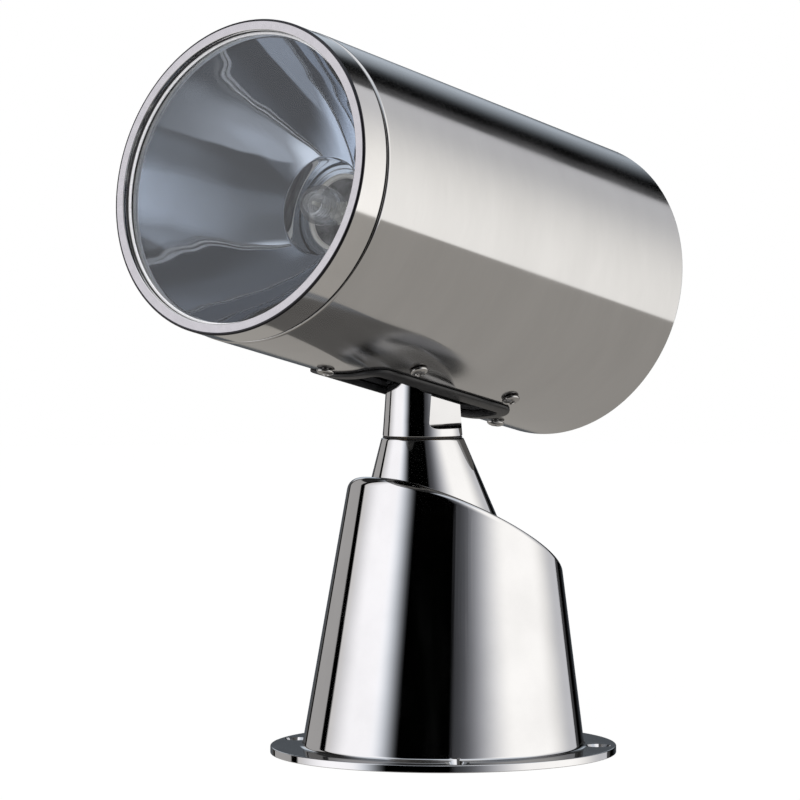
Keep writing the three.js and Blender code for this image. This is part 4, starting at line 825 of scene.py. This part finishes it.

# Two thin rings at the glass in that silver; their brightness is partly real paint and partly a painted
# highlight of the glass's edge
trim = lathe("lens_trim", (
    (86.5, GLASS_SEAT, 0.2), (TRIM_RADIUS, GLASS_SEAT, 0.2), (TRIM_RADIUS, 184.1, 0.4), (86.5, 184.1, 0.5),
), 192, DRUM)
finished(trim, "head", silver_and_highlight)
spacer = lathe("lens_spacer", (
    (87.3, 176.1, 0.2), (TRIM_RADIUS, 176.1), (TRIM_RADIUS, 178.1), (87.3, 178.1, 0.3),
), 192, DRUM)
finished(spacer, "head", silver_and_highlight)

glass = lathe("lens", (
    (0, GLASS_BACK), (GLASS_RADIUS, GLASS_BACK, 0.4), (GLASS_RADIUS, GLASS_FRONT, 0.6), (0, GLASS_FRONT),
), 192, DRUM, closed=False)
finished(glass, "head", lens_glass, ["front_glass"])

carrier = lathe("carrier_ring", (
    (CARRIER_BORE, 152.5, 0.4), (CAP_RADIUS, 152.5, 0.4), (CAP_RADIUS, 167.1), (92.2, 167.1),
    (92.2, 174.5, 0.4), (CARRIER_BORE, 174.5, 0.4),
), 192, DRUM)
finished(carrier, "head", black_steel, ["lens_carrier"])


def bowl_depth(radius):
    """The bowl's paraboloid."""
    return APEX + radius**2 / (4 * FOCAL)


def reflector():
    """The bowl with its rim flange and the short neck behind it."""
    inside = [(radius, bowl_depth(radius)) for radius in np.linspace(NECK_BORE + 0.4, RIM_RADIUS, 64)]
    outside = []
    for radius, depth in inside:
        slope = radius / (2 * FOCAL)
        size = math.hypot(1, slope)
        behind = depth - BOWL_WALL / size
        if radius > NECK_BORE + 1.5 and behind < 173.2:
            outside.append((radius + BOWL_WALL * slope / size, behind))
    neck_radius = NECK_BORE + BOWL_WALL
    neck = [
        (BOWL_FLOOR, SEAT - BOWL_WALL), (neck_radius, SEAT - BOWL_WALL),
        (neck_radius, bowl_depth(NECK_BORE) - 1),
    ]
    flange = [(87.2, 174.8), (91.5, 174.8), (91.5, RIM_FRONT), (86.5, RIM_FRONT)]
    lip = [(NECK_BORE, bowl_depth(NECK_BORE) - 0.4), (NECK_BORE, SEAT, 0.5), (BOWL_FLOOR, SEAT)]
    return lathe("reflector_bowl", neck + outside + flange + inside[::-1] + lip, 256, DRUM)


finished(reflector(), "head", mirror, ["reflector"])

collar_front = SEAT + 1.7
collar_step = 1.3
floor_level = collar_front - 3 * collar_step
collar = lathe("lamp_ring", (
    (29, collar_front - 1.4, 0.3), (29, collar_front, 0.6), (26.4, collar_front, 0.5),
    (26.4, collar_front - collar_step, 0.3), (23.8, collar_front - collar_step, 0.5),
    (23.8, collar_front - 2 * collar_step, 0.3), (22.0, collar_front - 2 * collar_step, 0.8),
    (21.2, floor_level), (7.5, floor_level, 0.3), (7.5, floor_level - 1.3), (20.7, floor_level - 1.3),
    (20.7, floor_level - 12), (23.7, floor_level - 12), (23.7, collar_front - 1.4),
), 160, DRUM)
finished(collar, "head", lamp_metal, ["lamp_collar"])
collar.data.materials.append(lamp_plate)
collar.data.materials.append(lamp_enamel)
for face in collar.data.polygons:
    across = math.hypot(face.center.x, face.center.y) / MM
    if face.center.z > (floor_level - 0.1) * MM:
        if across < 21.3:
            face.material_index = 1
        elif across < 23.9:
            face.material_index = 2

socket = lathe("socket_body", (
    (0, floor_level - 26.6), (11, floor_level - 26.6, 1), (11, floor_level - 1.6, 0.5),
    (7.2, floor_level - 1.6, 0.3), (7.2, floor_level, 0.4), (0, floor_level),
), 96, DRUM, closed=False)
finished(socket, "head", ceramic, ["lamp_socket"])


def slot_gasket():
    """The rubber frame: a section swept round the slot and bent to the drum."""
    section = rounded((
        (0, 93.2, 0.4), (0, 97.5, 0.8), (8, 97.5, 0.9), (8, 95.5, 0.2), (3.7, 95.5), (3.7, 93.2, 0.3),
    ), 5)
    outline = slot_outline(0, 12, 30)
    rings = []
    for x, forward, across, along in outline:
        ring = []
        for offset, radius in section:
            side = x + across * offset
            ring.append((side, -math.sqrt(radius**2 - side**2), forward + along * offset))
        rings.append(ring)
    return skin("slot_frame", rings, DRUM, closed=True)


finished(slot_gasket(), "head", rubber, ["slot_gasket"], weighted=False)


def head_screw(name, place):
    """A pan-head screw with a cross recess."""
    matrix = screw_matrix(*place)
    turns = [math.radians(angle) for angle in range(0, 81, 8)]
    dome = [(SCREW_HEAD * math.sin(angle), -1.3 - 2.4 * math.cos(angle)) for angle in turns]
    shank = [(SCREW_HEAD, -1.3), (SCREW_HEAD, -0.6, 0.3), (SCREW_SHANK, -0.6), (SCREW_SHANK, 8.4), (0, 8.4)]
    screw = lathe(name, dome + shank, 64, matrix, closed=False)
    recess_turn = 20 + 37 * place[0] / 45  # each screw was driven home at its own angle
    bars = []
    for quarter in (0, 90):
        rings = []
        for depth, length, width in ((-6, 3.4, 1.0), (-3.2, 2.8, 0.85), (-1.9, 1.2, 0.5)):
            corners = ((length, width), (-length, width), (-length, -width), (length, -width))
            rings.append([(x, y, depth) for x, y in corners])
        bars.append(skin("bar", rings, matrix @ turn("Z", quarter + recess_turn)))
    for bar in bars:
        boolean(screw, bar)
    return bevelled(screw, 0.12, 2, 35)


for index, place in enumerate(SCREW_PLACES, 1):
    piece = head_screw(f"cross_screw_{index}", place)
    finished(piece, "head", screw_steel, [f"head_screw_{index}"], weighted=False)


# ---------------------------------------------------------------- lamp

foot = floor_level + 0.3
tip = foot + 34
capsule = lathe("bulb_capsule", (
    (0, foot + 4.4), (4.5, foot + 4.4, 0.8), (6.6, foot + 5.8, 1.5), (10.8, foot + 8.6, 4),
    (12, foot + 14, 5), (12, foot + 23, 6), (8.6, foot + 30.2, 6), (2.6, tip - 1.6, 2.4),
    (1.5, tip, 1.0), (0, tip),
), 96, DRUM, closed=False, steps=8)
finished(capsule, "head", bulb_glass, ["halogen_bulb"])
base = lathe("bulb_base", (
    (0, foot), (6.0, foot, 0.4), (6.4, foot + 3.6, 0.4), (5.2, foot + 4.3, 0.3), (0, foot + 4.3),
), 64, DRUM, closed=False)
finished(base, "head", ceramic, ["halogen_bulb"])


def wire(name, points, radius, sides=12):
    """A round wire along a line of points, with its ring turned to the line at each one."""
    points = np.array(points, float)
    tangents = np.gradient(points, axis=0)
    tangents /= np.linalg.norm(tangents, axis=1)[:, None]
    normal = np.cross(tangents[0], (0.31, 0.9, 0.27))
    rings = []
    for point, tangent in zip(points, tangents):
        normal = normal - tangent * (normal @ tangent)
        normal /= np.linalg.norm(normal)
        other = np.cross(tangent, normal)
        turns = np.arange(sides) * 2 * math.pi / sides
        rings.append(point + radius * (np.outer(np.cos(turns), normal) + np.outer(np.sin(turns), other)))
    return skin(name, rings, DRUM)


def filament_piece(name, points, radius, sides=12):
    piece = wire(name, points, radius, sides)
    finished(piece, "head", filament, ["halogen_bulb"], weighted=False)


COIL_TURNS = 6
COIL_STEPS = 36  # in each turn
COIL_RADIUS = 5.6
COIL_LENGTH = 12.6
coil = []
for step in range(COIL_TURNS * COIL_STEPS + 1):
    angle = math.radians(step * 360 / COIL_STEPS)
    rise = COIL_LENGTH * step / (COIL_TURNS * COIL_STEPS)
    coil.append((COIL_RADIUS * math.cos(angle), COIL_RADIUS * math.sin(angle), foot + 13.2 + rise))
filament_piece("filament_coil", coil, 0.6, 10)
for number, side in enumerate((-1, 1), 1):
    leg = [(0, side * 2.2, foot + 4.3), (0, side * 2.4, foot + 8), (side * 2.2, side * 3.4, foot + 11.5),
           (side * 5.4, side * 1.2, foot + 13.6 + (side + 1) * 5.6)]
    filament_piece(f"filament_leg_{number}", leg, 0.5)
coil_stem = lathe("filament_stem", (
    (0, foot + 4.3), (3.4, foot + 4.3, 0.4), (3.0, foot + 9.5, 0.8), (1.1, foot + 12, 0.6),
    (0.9, foot + 26.5, 0.6), (0, foot + 27),
), 48, DRUM, closed=False)
finished(coil_stem, "head", ceramic, ["halogen_bulb"])


# ---------------------------------------------------------------- camera, light and floor

CAMERA_PLACE = Vector((2.00577, -1.61920, 0.31475))
LOOK = Vector((-0.78395, 0.61971, -0.03722))
CAMERA_ROLL = -0.12
VIEW_AZIMUTH = 51.67  # the photograph's view; a fixed direction in the room
camera = bpy.data.objects.new("camera", bpy.data.cameras.new("camera"))
scene.collection.objects.link(camera)
camera.data.sensor_width = 36
camera.data.lens = 187.2
camera.data.clip_end = 100
aim = LOOK.to_track_quat("-Z", "Y").to_matrix().to_4x4() @ turn("Z", CAMERA_ROLL)
camera.matrix_world = Matrix.Translation(CAMERA_PLACE) @ aim
scene.camera = camera


def panel_room(graph, turned, height, rays):
    """What metal sees: soft panels with dark gaps between them, over a grey floor and under a white top.

    The panels' places and levels were set after the reflections in the photograph.
    """
    high_fade = graph.ramp(height, 24, 28, 1.0, 0.05)
    low_fade = graph.product(high_fade, graph.ramp(height, 7, 13, 0.15, 1.0))
    # The angles of a panel's rise and fall, its level, the power of its rise and its fade with height
    panels = (
        ((4, 62), (92, 130), 0.52, 1.4, None),
        ((4, 62), (137.5, 140), 0.53, 1.4, None),
        ((138.2, 138.8), (139.2, 139.8), 0.3, None, None),
        ((151, 177), (203.5, 205), 0.58, None, low_fade),
        ((208, 209.5), (237.5, 239.5), 0.36, None, high_fade),
        ((245.5, 248), (296, 322), 0.66, None, None),
        ((247, 275), (296, 322), 0.44, None, None),
        ((3, 9), (143.5, 148), 0.05, None, None),
    )
    levels = []
    for rise, fall, level, power, fade in panels:
        edge = graph.ramp(turned, *rise)
        if power:
            edge = graph.maths("POWER", edge, power)
        level = graph.product(edge, graph.ramp(turned, *fall, 1.0, 0.0), level)
        levels.append(graph.product(level, fade) if fade else level)
    # The angles over which the light changes its tint, and the tint from there on
    tints = (
        ((10, 60), (1.02, 1.0, 0.97, 1)),
        ((105, 135), (0.985, 0.985, 1.02, 1)),
        ((144, 160), (0.88, 0.98, 1.10, 1)),
        ((194, 204), (1.02, 0.99, 0.97, 1)),
        ((246, 258), (1.0, 0.985, 1.0, 1)),
        ((292, 312), (0.94, 0.98, 1.05, 1)),
    )
    tone = (0.95, 0.97, 1.06, 1)
    for span, colour in tints:
        tone = graph.mix(graph.ramp(turned, *span), tone, colour)
    lit = graph.dimmed(tone, graph.total(*levels))
    sky = graph.mix(graph.ramp(height, 42, 60), lit, (0.62, 0.66, 0.72, 1))
    sky = graph.mix(graph.ramp(height, 64, 80), sky, (1.05, 1.05, 1.07, 1))
    ground = graph.mix(graph.ramp(height, -58, -72), (0.335, 0.32, 0.30, 1), (0.12, 0.11, 0.10, 1))
    seen = graph.mix(graph.ramp(height, -16.5, -15.5), ground, sky)
    # After two mirror bounces the room is darker. No real light does this: it was set after the photograph
    # too
    deep = graph.maths("GREATER_THAN", rays["Glossy Depth"], 1.5)
    return graph.mix(graph.product(deep, 0.72), seen, (0.03, 0.03, 0.03, 1))


def bowl_room(graph, turned, height):
    """What rays that leave through the lens see, made for the bowl and apart from what metal sees.

    A pale table is below, a window on the left, a soft light on the right and a white top above.
    """
    side = graph.maths("SUBTRACT", turned, graph.product(graph.maths("GREATER_THAN", turned, 180.0), 360.0))
    table = graph.product(graph.ramp(height, -25.5, -28.5), graph.ramp(height, -68, -52))
    table = graph.product(table, graph.ramp(side, 8, 34, 0.28, 0.14))
    window = graph.product(graph.ramp(height, 16, -6), graph.ramp(height, -62, -36))
    window = graph.product(window, graph.ramp(side, -20, -54, 0.0, 0.8))
    spot = graph.product(graph.ramp(height, 2, 16), graph.ramp(height, 42, 24))
    spot = graph.product(spot, graph.product(graph.ramp(side, -18, -30), 0.15))
    right = graph.total(graph.ramp(side, 12, 30, 0.0, 0.04), graph.ramp(side, 44, 70, 0.0, 0.3))
    haze = graph.ramp(height, 0, 22, 0.05, 0.1)
    top = graph.ramp(height, 60, 72, 0.0, 0.9)
    glow = graph.total(graph.maths("MAXIMUM", table, window), spot, right, haze, top)
    return graph.dimmed((0.93, 0.98, 1.07), glow)


def studio():
    """White for the camera, an even light for matt surfaces, and the two rooms for metal and for glass.

    All of it depends on the direction in the room alone, so nothing moves with the camera or the part.
    """
    world = bpy.data.worlds.new("studio")
    scene.world = world
    world.use_nodes = True
    graph = Graph(world.node_tree)
    x, y, z = graph.split(graph.node("ShaderNodeTexCoord").outputs["Generated"])
    azimuth = graph.maths("ARCTAN2", x, graph.product(y, -1.0))
    turned = graph.maths("SUBTRACT", graph.product(azimuth, 180 / math.pi), VIEW_AZIMUTH)
    turned = graph.maths("WRAP", turned, 360.0, 0.0)
    height = graph.product(graph.maths("ARCSINE", z), 180 / math.pi)
    rays = graph.node("ShaderNodeLightPath").outputs
    seen = graph.mix(rays["Is Transmission Ray"], panel_room(graph, turned, height, rays),
                     bowl_room(graph, turned, height))
    shiny = graph.maths("MAXIMUM", rays["Is Glossy Ray"], rays["Is Transmission Ray"])
    shiny = graph.product(shiny, graph.maths("LESS_THAN", rays["Diffuse Depth"], 0.5))
    colour = graph.mix(shiny, grey(0.9), seen)
    colour = graph.mix(rays["Is Camera Ray"], colour, grey(1.0))
    background = graph.node("ShaderNodeBackground", {"Color": colour, "Strength": 1.0})
    output = graph.node("ShaderNodeOutputWorld")
    graph.put(output.inputs[0], background.outputs[0])


studio()

FLOOR_RADIUS = 4000
FLOOR_SPAN = (-12, -0.2)
FLOOR_SIDES = 96
FLOOR_GLOW = 1.02  # meets the white background
FLOOR_SHARE = 0.93  # of the glow; the rest is paint, which takes the shadow


def pale_floor():
    """A pale disc that meets the white background and keeps the part's shadow."""
    material = bpy.data.materials.new("pale_floor")
    material.use_nodes = True
    graph = Graph(material.node_tree)
    rays = graph.node("ShaderNodeLightPath").outputs
    seen = graph.maths("MAXIMUM", rays["Is Glossy Ray"], rays["Is Transmission Ray"])
    seen = graph.maths("MAXIMUM", rays["Is Camera Ray"], seen)
    paint = graph.node("ShaderNodeBsdfDiffuse", {"Color": grey(0.85)})
    white = graph.node("ShaderNodeEmission", {"Color": grey(1.0), "Strength": FLOOR_GLOW})
    shaders = {0: graph.product(seen, FLOOR_SHARE), 1: paint.outputs[0], 2: white.outputs[0]}
    mixed = graph.node("ShaderNodeMixShader", shaders)
    graph.put(graph.node("ShaderNodeOutputMaterial").inputs[0], mixed.outputs[0])
    angles = [2 * math.pi * side / FLOOR_SIDES for side in range(FLOOR_SIDES)]
    rim = [(FLOOR_RADIUS * math.cos(angle), FLOOR_RADIUS * math.sin(angle)) for angle in angles]
    floor = skin("floor", [[(x, y, height) for x, y in rim] for height in FLOOR_SPAN])
    floor.data.materials.append(material)
    return floor


floor = pale_floor()
floor.visible_glossy = False
floor.visible_transmission = False

lamp = bpy.data.objects.new("softbox", bpy.data.lights.new("softbox", "AREA"))
scene.collection.objects.link(lamp)
lamp.data.shape = "DISK"
lamp.data.size = 1.6
lamp.data.energy = 22
lamp.location = (1.2, -1.6, 2.0)
lamp_target = Vector((0, 0, 0.25))
lamp.rotation_euler = (lamp_target - lamp.location).to_track_quat("-Z", "Y").to_euler()
lamp.visible_glossy = False
lamp.visible_transmission = False

scene.view_settings.view_transform = "Standard"
bpy.context.view_layer.update()
